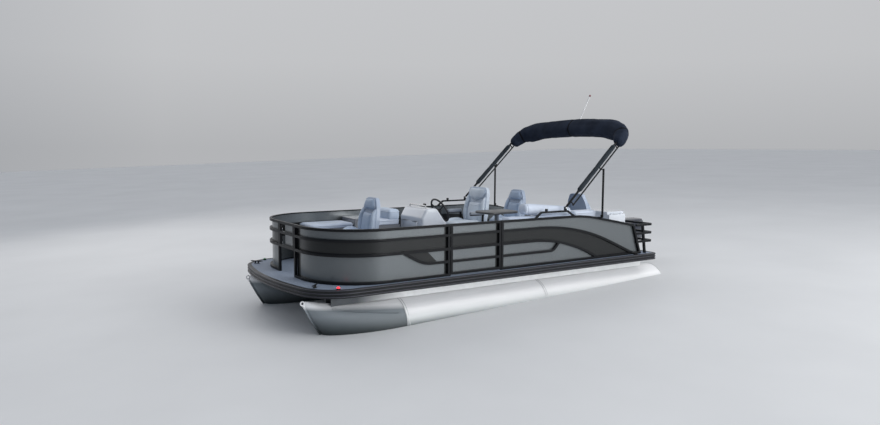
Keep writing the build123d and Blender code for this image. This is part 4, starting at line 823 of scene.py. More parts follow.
def makeCleats():
    t = np.linspace(-1, 1, 25)
    line = np.stack([t * cleats["bar"], 0 * t, cleats["high"] + cleats["lift"] * t ** 4], axis=1)
    taper = cleats["thick"] * (1 - 0.45 * np.abs(t) ** 3) * np.where(np.abs(t) > 0.98, 0.5, 1.0)
    horn = sweepShape(line, circle(1.0, 12)[None] * taper[:, None, None], toPort)
    wide, deep, high = cleats["foot"]
    plate = roundBox((-wide / 2, -deep / 2, 0.0003), (wide / 2, deep / 2, high), 0.002, 0.012)
    x, y = cleats["screwPlace"]
    posts = [latheShape(cleats["post"], (side * cleats["postX"], 0, 0), steps=16) for side in (-1, 1)]
    screws = [latheShape(cleats["screw"], (fore * x, side * y, 0), steps=12)
              for fore in (-1, 1) for side in (-1, 1)]
    makePiece("mooring_cleats", [moved(shape, placeAt(*place)) for place in cleats["places"]
                                 for shape in [horn, plate] + posts + screws],
              "blackMetal", replaces="deck_cleats", sharp=50)


# Bow lights: a dark turned base with a flange, and over it a lens whose dome is a quarter ellipse.
bowLights = {
    "x": 5.270, "y": 1.187, "lens": 0.0185, "lensFoot": (0.011, 0.016), "dome": 0.0135,
    "base": [(0.024, 0.0003), (0.0245, 0.004), (0.021, 0.007), (0.0195, 0.012), (0.017, 0.0125)],
}


def makeBowLights():
    radius, (foot, spring) = bowLights["lens"], bowLights["lensFoot"]
    turn = quarterTurn(9)
    dome = [(radius, foot), (radius, spring)] + list(zip(
        radius * np.cos(turn) + 0.0004, spring + bowLights["dome"] * np.sin(turn)))
    for side, name, glass in ((1, "port", "red"), (-1, "starboard", "green")):
        origin = at(bowLights["x"], side * bowLights["y"], 0)
        makePiece(f"bow_light_base_{name}", latheShape(bowLights["base"], origin), "blackMetal",
                  replaces=f"nav_light_{name}")
        makePiece(f"bow_light_lens_{name}", latheShape(dome, origin), glass)


makeTubes()
makeWelds()
makeCleats()
makeBowLights()
print("tubes, welds, cleats and bow lights made")

# Canopy: everything is placed up its slope from the pivots, to port, and under the slope.
canopy = {
    "x": 1.840, "up": 0.757, "lean": math.radians(42.7), "arm": 1.179, "under": 0.034,
    # to port, up the slope, turn of the section, thickness, depth
    "boot": [(1.172, 1.3303, 0, 0.170, 0.150), (1.157, 1.430, 16, 0.205, 0.180),
             (1.098, 1.555, 46, 0.235, 0.235), (0.930, 1.650, 74, 0.250, 0.270),
             (0.520, 1.705, 84, 0.258, 0.300), (0.0, 1.728, 90, 0.260, 0.312),
             (-0.520, 1.705, 96, 0.258, 0.300), (-0.930, 1.650, 106, 0.250, 0.270),
             (-1.098, 1.555, 134, 0.235, 0.235), (-1.157, 1.430, 164, 0.205, 0.180),
             (-1.172, 1.3303, 180, 0.170, 0.150)],
    "straps": (0.085, 0.50, 0.915), "strap": (0.0125, 0.001), "strapDraw": 0.055, "zip": 0.0035,
    # shares of the boot's radius: three folds, the creases, a ripple; then the sag at bends and all along
    "folds": (0.030, 0.020, 0.014), "crease": 0.032, "ripple": 0.0128, "sag": (0.32, 0.06),
    "sleeve": (0.330, 1.270), "sleeveRadius": 0.034, "sleeveFolds": (0.030, 0.022, 0.020),
    # how much the sleeves are drawn in at their ends and halfway, and the height of their seam
    "cinch": (0.38, 0.10), "seam": 0.07,
}
slope = np.array([-math.cos(canopy["lean"]), 0, math.sin(canopy["lean"])])
below = np.array([-math.sin(canopy["lean"]), 0, -math.cos(canopy["lean"])])


def onCanopy(along, y, under=0.0):
    along, y, under = [np.asarray(v, float)[..., None] for v in (along, y, under)]
    return at(canopy["x"], 0, canopy["up"]) + slope * along + below * under + y * toPort


# The boot: ellipses carried over the arch. Their radius is swelled by long soft folds
# sin(3 angle + drift), by creases |sin| across the bends, and drawn in at the straps and both ends.
# Its lower half hangs by sag times the depth below the middle, most beside both bends.
def makeBoot():
    rows = np.asarray(canopy["boot"])
    keys = np.concatenate([[0], np.cumsum(np.hypot(np.diff(rows[:, 0]), np.diff(rows[:, 1])))])
    s = np.linspace(0, keys[-1], 300)
    y, along, turn, thick, deep = throughKeys(keys, rows, s).T
    turn = np.radians(turn)[:, None]
    ahead = slope * np.cos(turn) - toPort * np.sin(turn)
    across = np.cross(ahead, below)
    angle = around(120)
    share = s / keys[-1]
    ends = np.minimum(share, 1 - share)
    S, A = np.meshgrid(s, angle, indexing="ij")
    first, second, third = canopy["folds"]
    folds = (first * np.sin(3 * A + 1.6 * np.sin(2.3 * S) + 0.8)
             + second * np.sin(5 * A - 2.1 * S + np.sin(4 * S))
             + third * np.sin(9 * A + 5 * S) * (0.4 + 0.6 * np.sin(1.7 * S) ** 2))
    creases = (canopy["crease"] * hump(ends, 0.10, 0.07)[:, None]
               * np.abs(np.sin(26 * S + 2.5 * np.sin(A) + 1.3 * np.sin(2 * A + 1)))
               + canopy["ripple"] * np.sin(34 * S + 5 * np.sin(A + 2 * S)) * np.sin(7 * S + 2 * A) ** 2)
    strap = canopy["strapDraw"] * sum(hump(share, place, 0.010) for place in canopy["straps"])
    close = np.sqrt(np.clip(1 - (1 - np.clip(ends / 0.022, 0, 1)) ** 2, 0.06, 1))
    scale = (0.965 + folds - creases - strap[:, None]) * close[:, None]
    centre = onCanopy(along, y, canopy["under"])
    points = (centre[:, None] + below * (scale * np.cos(A) * thick[:, None] / 2)[..., None]
              + across[:, None] * (scale * np.sin(A) * deep[:, None] / 2)[..., None])
    bends, everywhere = canopy["sag"]
    sag = (bends * hump(ends, 0.17, 0.07) + everywhere) * smoothStep(ends / 0.08)
    points[..., 2] -= sag[:, None] * np.clip(centre[:, None, 2] - points[..., 2], 0, None)
    boot = makePiece("canopy_boot_cloth", gridShape(points), "boot", "canopy", replaces="canopy_boot",
                     sharp=180)
    # webbing straps round the boot and its zip along the lower side
    half, thin = canopy["strap"]
    flat = np.array([(-half, -thin), (half, -thin), (half, thin), (-half, thin)])
    bands = []
    for place in canopy["straps"]:
        i = int(np.argmin(np.abs(share - place)))
        bands.append(sweepShape(points[i] + (points[i] - centre[i]) * 0.022, flat, ahead[i], closed=True))
    makePiece("boot_straps", bands, "webbing", "canopy", sharp=50)
    line = points[8:-8, int(round(len(angle) * 0.94))]
    line = line + (line - centre[8:-8]) * 0.012
    makePiece("boot_zip", sweepShape(line[::2], circle(canopy["zip"], 8, 0.6), (1, 0, 0)), "webbing",
              "canopy")


# Sleeves: cloth tubes round the arms, radius * (1 + folds), cinched at both ends and halfway, with
# a closing seam that is a narrow hump underneath.
def makeSleeves():
    start, end = canopy["sleeve"]
    s = np.linspace(start, end, 150)
    S, A = np.meshgrid(s, around(48), indexing="ij")
    share = (s - start) / (end - start)
    first, second, third = canopy["sleeveFolds"]
    folds = (first * np.sin(2 * A + 9 * S) + second * np.sin(3 * A - 17 * S + 2 * np.sin(6 * S))
             + third * np.sin(41 * S + 3 * np.sin(A)) * np.sin(5 * S) ** 2)
    tied, halfway = canopy["cinch"]
    cinch = (1 - tied + tied * smoothStep(np.minimum(share, 1 - share) / 0.035)
             - halfway * hump(share, 0.5, 0.012))
    seam = canopy["seam"] * hump(A, 1.5 * math.pi, 0.12)
    radius = canopy["sleeveRadius"] * (0.965 + folds + seam) * cinch[:, None]
    shapes = []
    for side in (1, -1):
        centre = onCanopy(s, np.full_like(s, side * canopy["arm"]))
        verts, quads, tris = gridShape(centre[:, None] + (radius * np.cos(A))[..., None] * toPort
                                       - (radius * np.sin(A))[..., None] * below)
        shapes.append((verts, quads[:, ::-1], tris[:, ::-1]))
    sleeves = makePiece("arm_sleeves", shapes, "sleeve", "canopy", replaces="canopy_sleeves", sharp=180)


# The all-round light: a turned collar on the boot, a slender pole and a red cap, each a profile of
# radius and height along the pole.
mast = {"foot": (-1.8500, 0.0, 2.8890), "lean": (-190.0, 0.0, 350.0), "long": 0.500, "pole": 0.0085,
        "collar": [(0.0, 0.0), (0.023, 0.001), (0.024, 0.014), (0.016, 0.021)],
        # radius, down from the top
        "head": [(0.0085, 0.045), (0.013, 0.040), (0.013, 0.034), (0.0, 0.034)],
        "cap": [(0.0, 0.0335), (0.0150, 0.0330), (0.0155, 0.008), (0.0125, 0.002), (0.0, 0.0)]}


def makeMast():
    top, pole = mast["long"], mast["pole"]
    stem = mast["collar"] + [(pole + 0.002, 0.026), (pole, 0.032)] + [(r, top - d) for r, d in mast["head"]]
    stem, cap = [latheShape(profile, mast["foot"], mast["lean"], steps=24)
                 for profile in (stem, [(r, top - d) for r, d in mast["cap"]])]
    makePiece("light_pole", stem, "whitePlastic", "canopy",
              replaces="all_round_light")
    makePiece("light_cap", cap, "redCap", "canopy")


makeBoot()
makeSleeves()
makeMast()
print("canopy cloth made")


# Chairs: each is drawn about its post with +X ahead, then turned and put in its place.
chairs = {
    # forward, to port, turn, back's height, width, shoulder's place and top's width as shares of the
    # half width and the height, arms, colours of the centre pads and the bolsters
    "helm_chair": (2.283, -0.560, 0, 0.957, 0.530, (0.88, 0.85), 0.74, True, "chairPale", "chairPale"),
    "bow_chair": (4.258, -0.300, 0, 0.880, 0.440, (0.84, 0.77), 0.54, False, "chair", "chairRim"),
    "port_aft_chair": (0.520, 0.300, 180, 0.866, 0.440, (0.84, 0.77), 0.54, False, "chair", "chairRim"),
    "starboard_aft_chair": (1.398, -0.620, 0, 0.890, 0.440, (0.84, 0.77), 0.54, False, "chair", "chairRim"),
}
chairForm = {
    "hub": 0.300, "seatLow": 0.340, "ahead": 0.042, "depth": 0.94, "lean": math.radians(10),
    "shellRound": 0.066, "padFoot": 0.056, "seatFoot": 0.036,
    # each pad: thickness, roundness of its edge, and its welt's height over the foot, if it has one
    "wingPad": (0.062, 2.2, 0.018), "middlePad": (0.046, 3.0, 0.016), "headPad": (0.048, 2.3, 0.018),
    "innerPad": (0.076, 4.0, 0.0592), "rollPad": (0.078, 2.3), "sidePad": (0.110, 2.2, 0.030),
    "oval": (0.105, 0.44, 0.0755),
    "welt": 0.0042, "thinWelt": 0.00336, "seam": 0.00294, "ovalSeam": 0.00252,
    "hubProfile": [(0.070, 0.0003), (0.070, 0.006), (0.052, 0.014), (0.046, 0.036), (0.066, 0.041)],
    "lever": [(0.02, -0.05, 0.022), (0.02, -0.17, 0.022), (0.02, -0.19, 0.030)],
    # outlines on the back, as shares of the half width and the height
    "shell": [(0.80, 0.0), (1.0, 0.18), (0.99, 0.46)],
    "wing": [(0.60, 0.10), (0.80, 0.085), (0.985, 0.19), (0.98, 0.45)],
    "wingInner": [(0.62, 0.66), (0.70, 0.46), (0.62, 0.28)],
    "middle": [(0.58, 0.12), (0.62, 0.30), (0.66, 0.44), (0.57, 0.62), (-0.57, 0.62), (-0.66, 0.44),
               (-0.62, 0.30), (-0.58, 0.12)],
    "plainHead": [(0.66, 0.690), (0.70, 0.79), (0.50, 0.970), (-0.50, 0.970), (-0.70, 0.79),
                  (-0.66, 0.690)],
    "armedHead": [(0.80, 0.86), (0.70, 0.975), (-0.70, 0.975), (-0.80, 0.86), (-0.58, 0.72),
                  (0.0, 0.655), (0.58, 0.72)],
    # corner radii of the wings and the head, without arms and with them
    "wingRound": (0.016, 0.018), "headRound": (0.046, 0.034),
}
armForm = {"out": 0.030, "padWide": 0.028, "padX": (-0.143, 0.130), "padZ": (0.556, 0.612),
           "barWide": 0.022, "barX": (-0.140, 0.120), "barZ": (0.548, 0.560), "strutX": -0.122}


# The shell's rings are its outline times (1 - draw), set forward by a depth: it opens along a
# quarter arc behind the back, and closes along another at the front. The pads lie on outlines.
def makeChair(name, x, y, turn, high, wide, shoulder, top, arms, centreInk, rimInk):
    form, half = chairForm, wide / 2
    heel, front = [form["ahead"] + end * form["depth"] * half for end in (-1, 1)]
    seatLow, hub = form["seatLow"], form["hub"]
    rise = (high - seatLow) / math.cos(form["lean"])
    lean = np.array([-math.sin(form["lean"]), 0, math.cos(form["lean"])])
    ahead = np.array([math.cos(form["lean"]), 0, math.sin(form["lean"])])
    foot = np.array([heel, 0, seatLow])
    place = placeAt(x, y, turn)
    rim, centre, piping = [], [], []

    def put(shapes):
        return [moved(shape, place) for shape in shapes]

    def scaled(points, radius, count):
        return roundedOutline([(a * half, b * rise) for a, b in points], radius, count)

    def mirror(points):
        return [(-a, b) for a, b in reversed(points)]

    def addPad(pads, axes, outline, thick, power, weltUp=None, weltRadius=form["welt"]):
        pads.append(padShape(outline, *axes, thick, power))
        if weltUp:
            piping.append(pipingShape(outline, *axes, weltUp, weltRadius))

    # moulded shell behind the back and under the seat, on a swivel with a lever
    out, level = shoulder
    edge = form["shell"] + [(out, level), (top, 1.0)]
    t = quarterTurn(6)
    draw = np.concatenate([0.07 * (1 - np.sin(t)), 0.035 * (1 - np.cos(t))])[:, None, None]
    depth = np.concatenate([0.030 * (1 - np.sin(t)), 0.050 + 0.012 * np.sin(t)])[:, None, None]
    back = scaled(edge + mirror(edge), form["shellRound"], 96)
    rows = back[None] * (1 - draw) + np.array([0, 0.5 * rise]) * draw
    shellBack = gridShape(foot + rows[..., :1] * toPort + rows[..., 1:] * lean + depth * ahead)
    pan = roundBox((heel + 0.004, 0.004 - half, seatLow), (front - 0.004, half - 0.004, seatLow + 0.040),
                   0.016, 0.075, 5)
    makePiece(f"{name}_shell", put([shellBack, pan]), rimInk + "Shell", name, replaces=name, sharp=50)
    plate = roundBox((-0.095, -0.095, hub + 0.033), (0.095, 0.095, hub + 0.0405), 0.003, 0.02)
    lever = sweepShape(bentPath(np.array(form["lever"]) + [0, 0, hub], 0.012), circle(0.006, 10), (1, 0, 0))
    turned = latheShape(form["hubProfile"], (0, 0, hub), steps=40)
    makePiece(f"{name}_swivel", put([turned, plate, lever]), "pedestal", name, sharp=40)

    # the back's pads: wings, middle and head, and the curves sewn across them
    onBack = (foot + ahead * form["padFoot"], toPort, lean)
    wing = form["wing"] + [(out - 0.01, level - 0.03)] + form["wingInner"]
    for outline in (wing, mirror(wing)):
        outline = scaled(outline, form["wingRound"][arms], 80)
        addPad(rim, onBack, outline, *form["wingPad"], form["thinWelt"])
    addPad(centre, onBack, scaled(form["middle"], 0.030, 96), *form["middlePad"])
    head = form["armedHead" if arms else "plainHead"]
    addPad(centre, onBack, scaled(head, form["headRound"][arms], 96), *form["headPad"])
    t = np.linspace(-1, 1, 40)
    # reach as a share of the half width, height as a share of the rise, and how far it stands out
    curves = [(0.50, 0.30 - 0.10 * t ** 2, 0.0475)]
    if arms:
        curves += [(0.46, up + 0.05 * np.abs(t), 0.0485) for up in (0.78, 0.50)]
    for reach, up, lift in curves:
        path = (onBack[0] + (reach * half * t)[:, None] * toPort + (rise * up)[:, None] * lean
                + (lift - 0.010 * t ** 6)[:, None] * ahead)
        piping.append(sweepShape(path, circle(form["seam"], 8), ahead))

    # the seat: a centre pad, a roll at the front, a bolster each side and a sewn oval
    onSeat = (np.array([0, 0, seatLow + form["seatFoot"]]), np.array([1.0, 0, 0]), toPort)
    inner = [(heel + 0.075, -0.70), (front - 0.085, -0.70), (front - 0.085, 0.70), (heel + 0.075, 0.70)]
    roll = [(front - 0.100, -0.90), (front - 0.004, -0.80), (front - 0.004, 0.80), (front - 0.100, 0.90)]
    edge = [(heel + 0.060, 0.70), (front - 0.070, 0.68), (front - 0.075, 0.985), (heel + 0.075, 0.985)]

    def onPlan(points, radius, count):
        return roundedOutline(np.array(points) * [1, half], radius, count)

    addPad(centre, onSeat, onPlan(inner, 0.045, 96), *form["innerPad"])
    addPad(rim, onSeat, onPlan(roll, 0.034, 96), *form["rollPad"])
    for outline in (edge, [(a, -b) for a, b in reversed(edge)]):
        addPad(rim, onSeat, onPlan(outline, 0.024, 80), *form["sidePad"], form["thinWelt"])
    angle, (long, wideShare, up) = around(60), form["oval"]
    oval = np.stack([form["ahead"] + 0.004 + long * np.cos(angle),
                     wideShare * half * np.sin(angle)], axis=1)
    piping.append(pipingShape(oval, *onSeat, up, form["ovalSeam"]))
    makePadded(f"{name}_bolsters", put(rim), rimInk, name, cap=0.006, voxel=0.007)
    makePadded(f"{name}_pads", put(centre), centreInk, name, cap=0.006, voxel=0.007)
    makePiece(f"{name}_piping", put(piping), "piping", name)
    if arms:
        makeArms(name, half, put)


# Armrests: a rounded pad on a flat bar, and a strap bent out from the seat to carry it.
def makeArms(name, half, put):
    pads, bars = [], []
    low, strutX = chairForm["seatLow"], armForm["strutX"]
    for side in (1, -1):
        y = side * (half + armForm["out"])
        for shapes, part, edges in ((pads, "pad", (0.022, 0.026, 6)), (bars, "bar", (0.004, 0.018))):
            wide, (back, front), (under, over) = [armForm[part + end] for end in ("Wide", "X", "Z")]
            shapes.append(roundBox((back, y - wide, under), (front, y + wide, over), *edges))
        line = bentPath([(strutX, side * (half - 0.012), low + 0.035),
                         (strutX, side * (half + 0.020), low + 0.100), (strutX, y, 0.553)], 0.03)
        bars.append(sweepShape(line, roundRect(0.036, 0.016, 0.006), (1, 0, 0)))
    makePadded(f"{name}_arm_pads", put(pads), "armPad", name, cap=0.003, voxel=0.005)
    makePiece(f"{name}_arm_bars", put(bars), "blackMetal", name, sharp=45)


for chairName, values in chairs.items():
    makeChair(chairName, *values)
print("chairs made")

# Long seats. Each cushion: back, front, starboard, port, low, high, corner, edge, ink, node it covers.
cushions = {
    "bench_seat_aft": (3.378, 3.852, -1.112, -0.688, 0.4403, 0.525, 0.040, 0.024, "white", "bench_cushion"),
    "bench_bolster": (3.378, 3.566, -1.112, -0.688, 0.500, 0.665, 0.036, 0.040, "chairRim", None),
    "bench_seat_fore": (4.128, 4.792, -1.112, -0.688, 0.4403, 0.506, 0.055, 0.024, "lavender", None),
    "lounge_seat_pad": (1.064, 2.776, 0.598, 0.932, 0.3303, 0.438, 0.034, 0.026, "cushion", "lounge_seat"),
    "lounge_back_aft": (1.158, 1.608, 0.9385, 1.117, 0.3303, 0.698, 0.034, 0.042, "white", "lounge_back"),
    "lounge_back_main": (1.614, 2.792, 0.9385, 1.117, 0.3303, 0.660, 0.034, 0.042, "lavender", None),
}


# Each is a rounded box let out as cloth, with a welt round its top edge just under the crown.
def makeCushions():
    for name, (back, front, starboard, port, under, over, corner, edge, ink, node) in cushions.items():
        low, high = at(back, starboard, under), at(front, port, over)
        makePadded(name, roundBox(low, high, edge, corner, 6), ink, cap=0.004, voxel=0.009,
                   replaces=(node,) if node else ())
        middle = np.array([*(low + high)[:2] / 2, high[2] - edge * 0.95])
        outline = roundRect(front - back + 0.002, port - starboard + 0.002, corner, 8)
        makePiece(f"{name}_welt", pipingShape(outline, middle, (1, 0, 0), toPort, 0.0, 0.0040), "piping")


# The roll on the lounge's back: squared circles, |x| ** 0.85, carried along a line that falls towards
# the stern, and closed along a quarter arc at both ends, where a welt is sewn.
loungeRoll = {"back": 1.640, "front": 2.500, "up": 0.722, "y": 1.022, "tilt": 0.075, "wide": 0.084,
              "high": 0.072, "end": 0.035, "welt": 0.004}


def makeRoll():
    long = loungeRoll["front"] - loungeRoll["back"]
    share = np.linspace(0, 1, 60)
    end = np.clip(np.minimum(share, 1 - share) * long / loungeRoll["end"], 0, 1)
    close = np.sqrt(np.clip(1 - (1 - end) ** 2, 0.10, 1))
    path = onBoat(np.stack([loungeRoll["back"] + share * long, np.full_like(share, loungeRoll["y"]),
                            loungeRoll["up"] + loungeRoll["tilt"] * (share - 0.5)], axis=1))
    ring = circle(1.0, 40)
    ring = np.sign(ring) * np.abs(ring) ** 0.85 * [loungeRoll["wide"], loungeRoll["high"]]
    profile = ring[None] * close[:, None, None]
    makePadded("lounge_roll", sweepShape(path, profile, toPort), "white", cap=0.005, voxel=0.008,
               pinned=False)
    welts = [sweepShape(path[i] + (profile[i][:, :1] * toPort + profile[i][:, 1:] * upward) * 1.01,
                        circle(loungeRoll["welt"], 8), (1, 0, 0), closed=True) for i in (4, len(path) - 5)]
    makePiece("lounge_roll_welts", welts, "piping")


makeCushions()
makeRoll()
print("long seats made")

# Helm console: forward, up from the deck.
console = {
    "profile": [(2.830, 0.0), (2.830, 0.470), (2.880, 0.520), (3.010, 0.690), (3.190, 0.690),
                (3.270, 0.560), (3.290, 0.0)],
    "radii": [0.004, 0.030, 0.030, 0.050, 0.060, 0.060, 0.004],
    "middle": (3.06, 0.33), "starboard": -0.880, "port": -0.240, "edge": 0.045,
    "doorLow": (3.276, -0.770, 0.080), "doorHigh": (3.2935, -0.350, 0.500),
    "rail": [(3.150, -0.780, 0.686), (3.150, -0.780, 0.728), (3.150, -0.340, 0.728),
             (3.150, -0.340, 0.686)],
}


# A rounded side profile carried across the boat, each point drawn in towards the middle along a
# quarter arc at both ends. Its door and the bent rail on top are made with the throttle.
def makeConsole():
    outline = roundedOutline(console["profile"], console["radii"], 180)
    turn, edge, middle = quarterTurn(7), console["edge"], np.array(console["middle"])
    inset, run = edge * (1 - np.sin(turn)), edge * (1 - np.cos(turn))
    inset = np.concatenate([inset, inset[::-1]])[:, None]
    y = np.concatenate([console["starboard"] + run, (console["port"] - run)[::-1]])[:, None]
    away = outline - middle
    draw = inset / np.linalg.norm(away, axis=1) * np.clip(outline[:, 1] / 0.05, 0, 1)
    rows = middle + away * (1 - draw)[..., None]
    points = np.stack([rows[..., 0], np.broadcast_to(y, rows.shape[:2]), rows[..., 1]], axis=2)
    makePiece("console_shell", gridShape(onBoat(points)), "shell", replaces="console", sharp=50)


# The dash lies on the console's slope: to port of its middle, and up the slope.
dash = {
    "foot": (2.880, -0.560, 0.520), "rise": (0.607, 0.0, 0.794), "half": 0.270, "from": 0.030, "to": 0.192,
    "gauges": [(0.085, 0.118, 0.036), (-0.085, 0.118, 0.036), (0.0, 0.150, 0.026), (-0.165, 0.150, 0.022)],
    "screen": (0.205, 0.100, 0.130, 0.100), "switches": 6, "switch": (-0.240, 0.058), "step": 0.030,
    # each profile: radius, out from the slope; a gauge's radii are added to its own
    "gaugeRim": [(0.004, 0.003), (0.004, 0.010), (0.001, 0.0125), (-0.002, 0.0105), (-0.002, 0.007)],
    "gaugeFace": [(-0.001, 0.004), (-0.001, 0.0085)], "key": (-0.225, 0.130),
    "keyProfile": [(0.014, 0.002), (0.014, 0.012), (0.009, 0.016), (0.008, 0.026)],
}


# Turned gauges whose needle and ticks are rays at an angle, padded outlines for the panel and the
# screen, and a row of rounded switches.
def makeDash():
    rise = unit(dash["rise"])
    face, low = np.cross(rise, toPort), at(*dash["foot"])

    def place(across, along, out=0.0):
        return low + toPort * across + rise * along + face * out

    def boxed(left, right, bottom, top, radius, count):
        return roundedOutline([(left, bottom), (right, bottom), (right, top), (left, top)], radius, count)

    panel = boxed(-dash["half"], dash["half"], dash["from"], dash["to"], 0.026, 96)
    panel = padShape(panel, place(0, 0, -0.001), toPort, rise, 0.006, 6.0)
    makePiece("dash_panel", panel, "dash", sharp=50)
    rims, faces, marks = [], [], []
    for number, (across, along, radius) in enumerate(dash["gauges"]):
        for shapes, profile in ((rims, "gaugeRim"), (faces, "gaugeFace")):
            shapes.append(latheShape(np.array(dash[profile]) + [radius, 0], place(across, along), face, 40))
        origin = place(across, along, 0.0088)
        # angle, from, to, thickness: the needle first, then nine ticks
        rays = [(2.4 + number * 0.5, 0.0, 0.78, 0.0012, 6)]
        rays += [(a, 0.76, 0.92, 0.0008, 4) for a in np.linspace(-0.6, math.pi + 0.6, 9)]
        for a, start, end, thick, steps in rays:
            ray = radius * (math.cos(a) * toPort + math.sin(a) * rise)
            line = origin + np.linspace(start, end, 3)[:, None] * ray
            marks.append(sweepShape(line, circle(thick, steps), face))
    across, along, wide, high = dash["screen"]
    bezel = boxed(across - wide / 2, across + wide / 2, along - high / 2, along + high / 2, 0.010, 64)
    rims.append(padShape(bezel, low, toPort, rise, 0.014, 8.0))
    glass = (bezel - [across, along]) * [0.90, 0.86] + [across, along]
    makePiece("dash_screen", padShape(glass, place(0, 0, 0.0138), toPort, rise, 0.0012, 8.0), "screen",
              sharp=50)
    makePiece("gauge_faces", faces, "dial")
    makePiece("gauge_marks", marks, "blackMetal")
    switch = roundBox((-0.010, -0.014, 0), (0.010, 0.014, 0.009), 0.002, 0.004)
    start, up = dash["switch"]
    rims += [moved(switch, placeOn(toPort, rise, face, place(start + dash["step"] * k, up, 0.004)))
             for k in range(dash["switches"])]
    rims.append(latheShape(dash["keyProfile"], place(*dash["key"]), face, 24))
    makePiece("dash_fittings", rims, "helm", sharp=45)


# Throttle: a rounded box beside the wheel, a bent lever and a knob across its end. Then the rail
# over the console and the door in its front.
throttle = {
    "low": (2.846, -0.868, 0.500), "high": (2.915, -0.808, 0.585),
    "lever": [(2.876, -0.838, 0.580), (2.862, -0.838, 0.660), (2.850, -0.838, 0.700)],
    "knob": [(2.850, -0.868, 0.704), (2.850, -0.838, 0.706), (2.850, -0.812, 0.704)],
}


def makeConsoleFittings():
    box = roundBox(at(*throttle["low"]), at(*throttle["high"]), 0.010, 0.014, 5)
    lever = sweepShape(bentPath(onBoat(throttle["lever"]), 0.02), roundRect(0.018, 0.012, 0.004), toPort)
    knob = sweepShape(onBoat(throttle["knob"]), circle(0.013, 16), (1, 0, 0))
    makePiece("throttle", [box, lever, knob], "helm", sharp=45)
    rail = bentPath(onBoat(console["rail"]), 0.025)
    makePiece("console_rail", sweepShape(rail, circle(0.010, 14), (1, 0, 0)), "steel")
    door = roundBox(at(*console["doorLow"]), at(*console["doorHigh"]), 0.004, 0.030)
    makePiece("console_door", door, "shell", sharp=40)


# Steering wheel, drawn flat about its axis and then set on it. The rim's thickness is
# rim * (1 + grip * cos of its notches) where it has grips; the spokes dip by dip * (1 - t) ** 2.
wheel = {"x": 2.755, "y": -0.560, "up": 0.630, "lean": math.radians(28), "radius": 0.190, "rim": 0.0138,
         "grip": 0.07, "notches": 24, "spokes": (90, 210, 330), "spoke": (0.022, 0.160), "dip": 0.012,
         "hub": [(0.030, -0.028), (0.034, -0.024), (0.036, -0.008), (0.033, 0.006), (0.022, 0.011),
                 (0.004, 0.012)]}


def makeWheel():
    axis = np.array([-math.cos(wheel["lean"]), 0, math.sin(wheel["lean"])])
    place = placeOn(toPort, np.cross(axis, toPort), axis, at(wheel["x"], wheel["y"], wheel["up"]))
    angle = around(200)
    path = wheel["radius"] * np.stack([np.cos(angle), np.sin(angle), 0 * angle], axis=1)
    grip = 1 + wheel["grip"] * np.cos(wheel["notches"] * angle) * (np.cos(3 * angle + 1.6) > 0)
    profile = circle(wheel["rim"])[None] * grip[:, None, None]
    rim = sweepShape(path, profile, upward, closed=True)
    hub = latheShape(wheel["hub"], (0, 0, 0), steps=40)
    start, long = wheel["spoke"]
    t = np.linspace(0, 1, 14)[:, None]
    profile = roundRect(1.0, 0.32, 0.12) * (0.034 - 0.016 * np.sin(math.pi * t))[..., None]
    spokes = []
    for turn in np.radians(wheel["spokes"]):
        ray = np.array([math.cos(turn), math.sin(turn), 0])
        line = ray * (start + long * t) - upward * wheel["dip"] * (1 - t) ** 2
        spokes.append(sweepShape(line, profile, np.cross(upward, ray)))
    for name, shapes, ink, sharp in (("rim", [rim, hub], "helm", 40), ("spokes", spokes, "spoke", 50)):
        makePiece(f"wheel_{name}", [moved(shape, place) for shape in shapes], ink, "steering_wheel",
                  replaces="steering_wheel" if name == "rim" else (), sharp=sharp)


# Seat posts and the table: profiles of radius and height turned about each post, six bolts round
# each foot, and a slab with a rounded edge.
posts = {
    "seat": [(0.120, 0.0003), (0.120, 0.006), (0.112, 0.011), (0.060, 0.014), (0.044, 0.022),
             (0.0362, 0.034), (0.0362, 0.180), (0.0385, 0.186), (0.0385, 0.230), (0.0362, 0.236),
             (0.0362, 0.292), (0.034, 0.2995), (0.0140, 0.300), (0.0140, 0.330), (0.011, 0.332)],
    "bolt": [(0.0085, 0.009), (0.0085, 0.0135), (0.004, 0.0150)], "bolts": 6, "ring": 0.098,
    "table": [(0.090, 0.0), (0.090, 0.006), (0.084, 0.011), (0.046, 0.015), (0.0305, 0.030),
              (0.0305, 0.628), (0.052, 0.640), (0.075, 0.652), (0.075, 0.660)],
    "tablePlace": (2.480, 0.470), "slab": (0.280, 0.200), "slabZ": (0.660, 0.690),
}


def makePosts():
    shapes, bolts = [], []
    for x, y, *others in chairs.values():
        shapes.append(latheShape(posts["seat"], at(x, y, 0), steps=48))
        for k in range(posts["bolts"]):
            a = k * 2 * math.pi / posts["bolts"] + 0.3
            origin = at(x + posts["ring"] * math.cos(a), y + posts["ring"] * math.sin(a), 0)
            bolts.append(latheShape(posts["bolt"], origin, steps=12))
    makePiece("seat_posts", shapes, "pedestal", replaces="seat_pedestals", sharp=40)
    makePiece("seat_post_bolts", bolts, "steel", sharp=50)
    (x, y), (long, wide), (low, high) = posts["tablePlace"], posts["slab"], posts["slabZ"]
    makePiece("table_post", latheShape(posts["table"], at(x, y, 0), steps=44), "pedestal",
              replaces="table_pedestal", sharp=40)
    slab = roundBox(at(x - long, y - wide, low), at(x + long, y + wide, high), 0.0085, 0.110, 5)
    makePiece("table_slab", slab, "table", replaces="table_top", sharp=50)


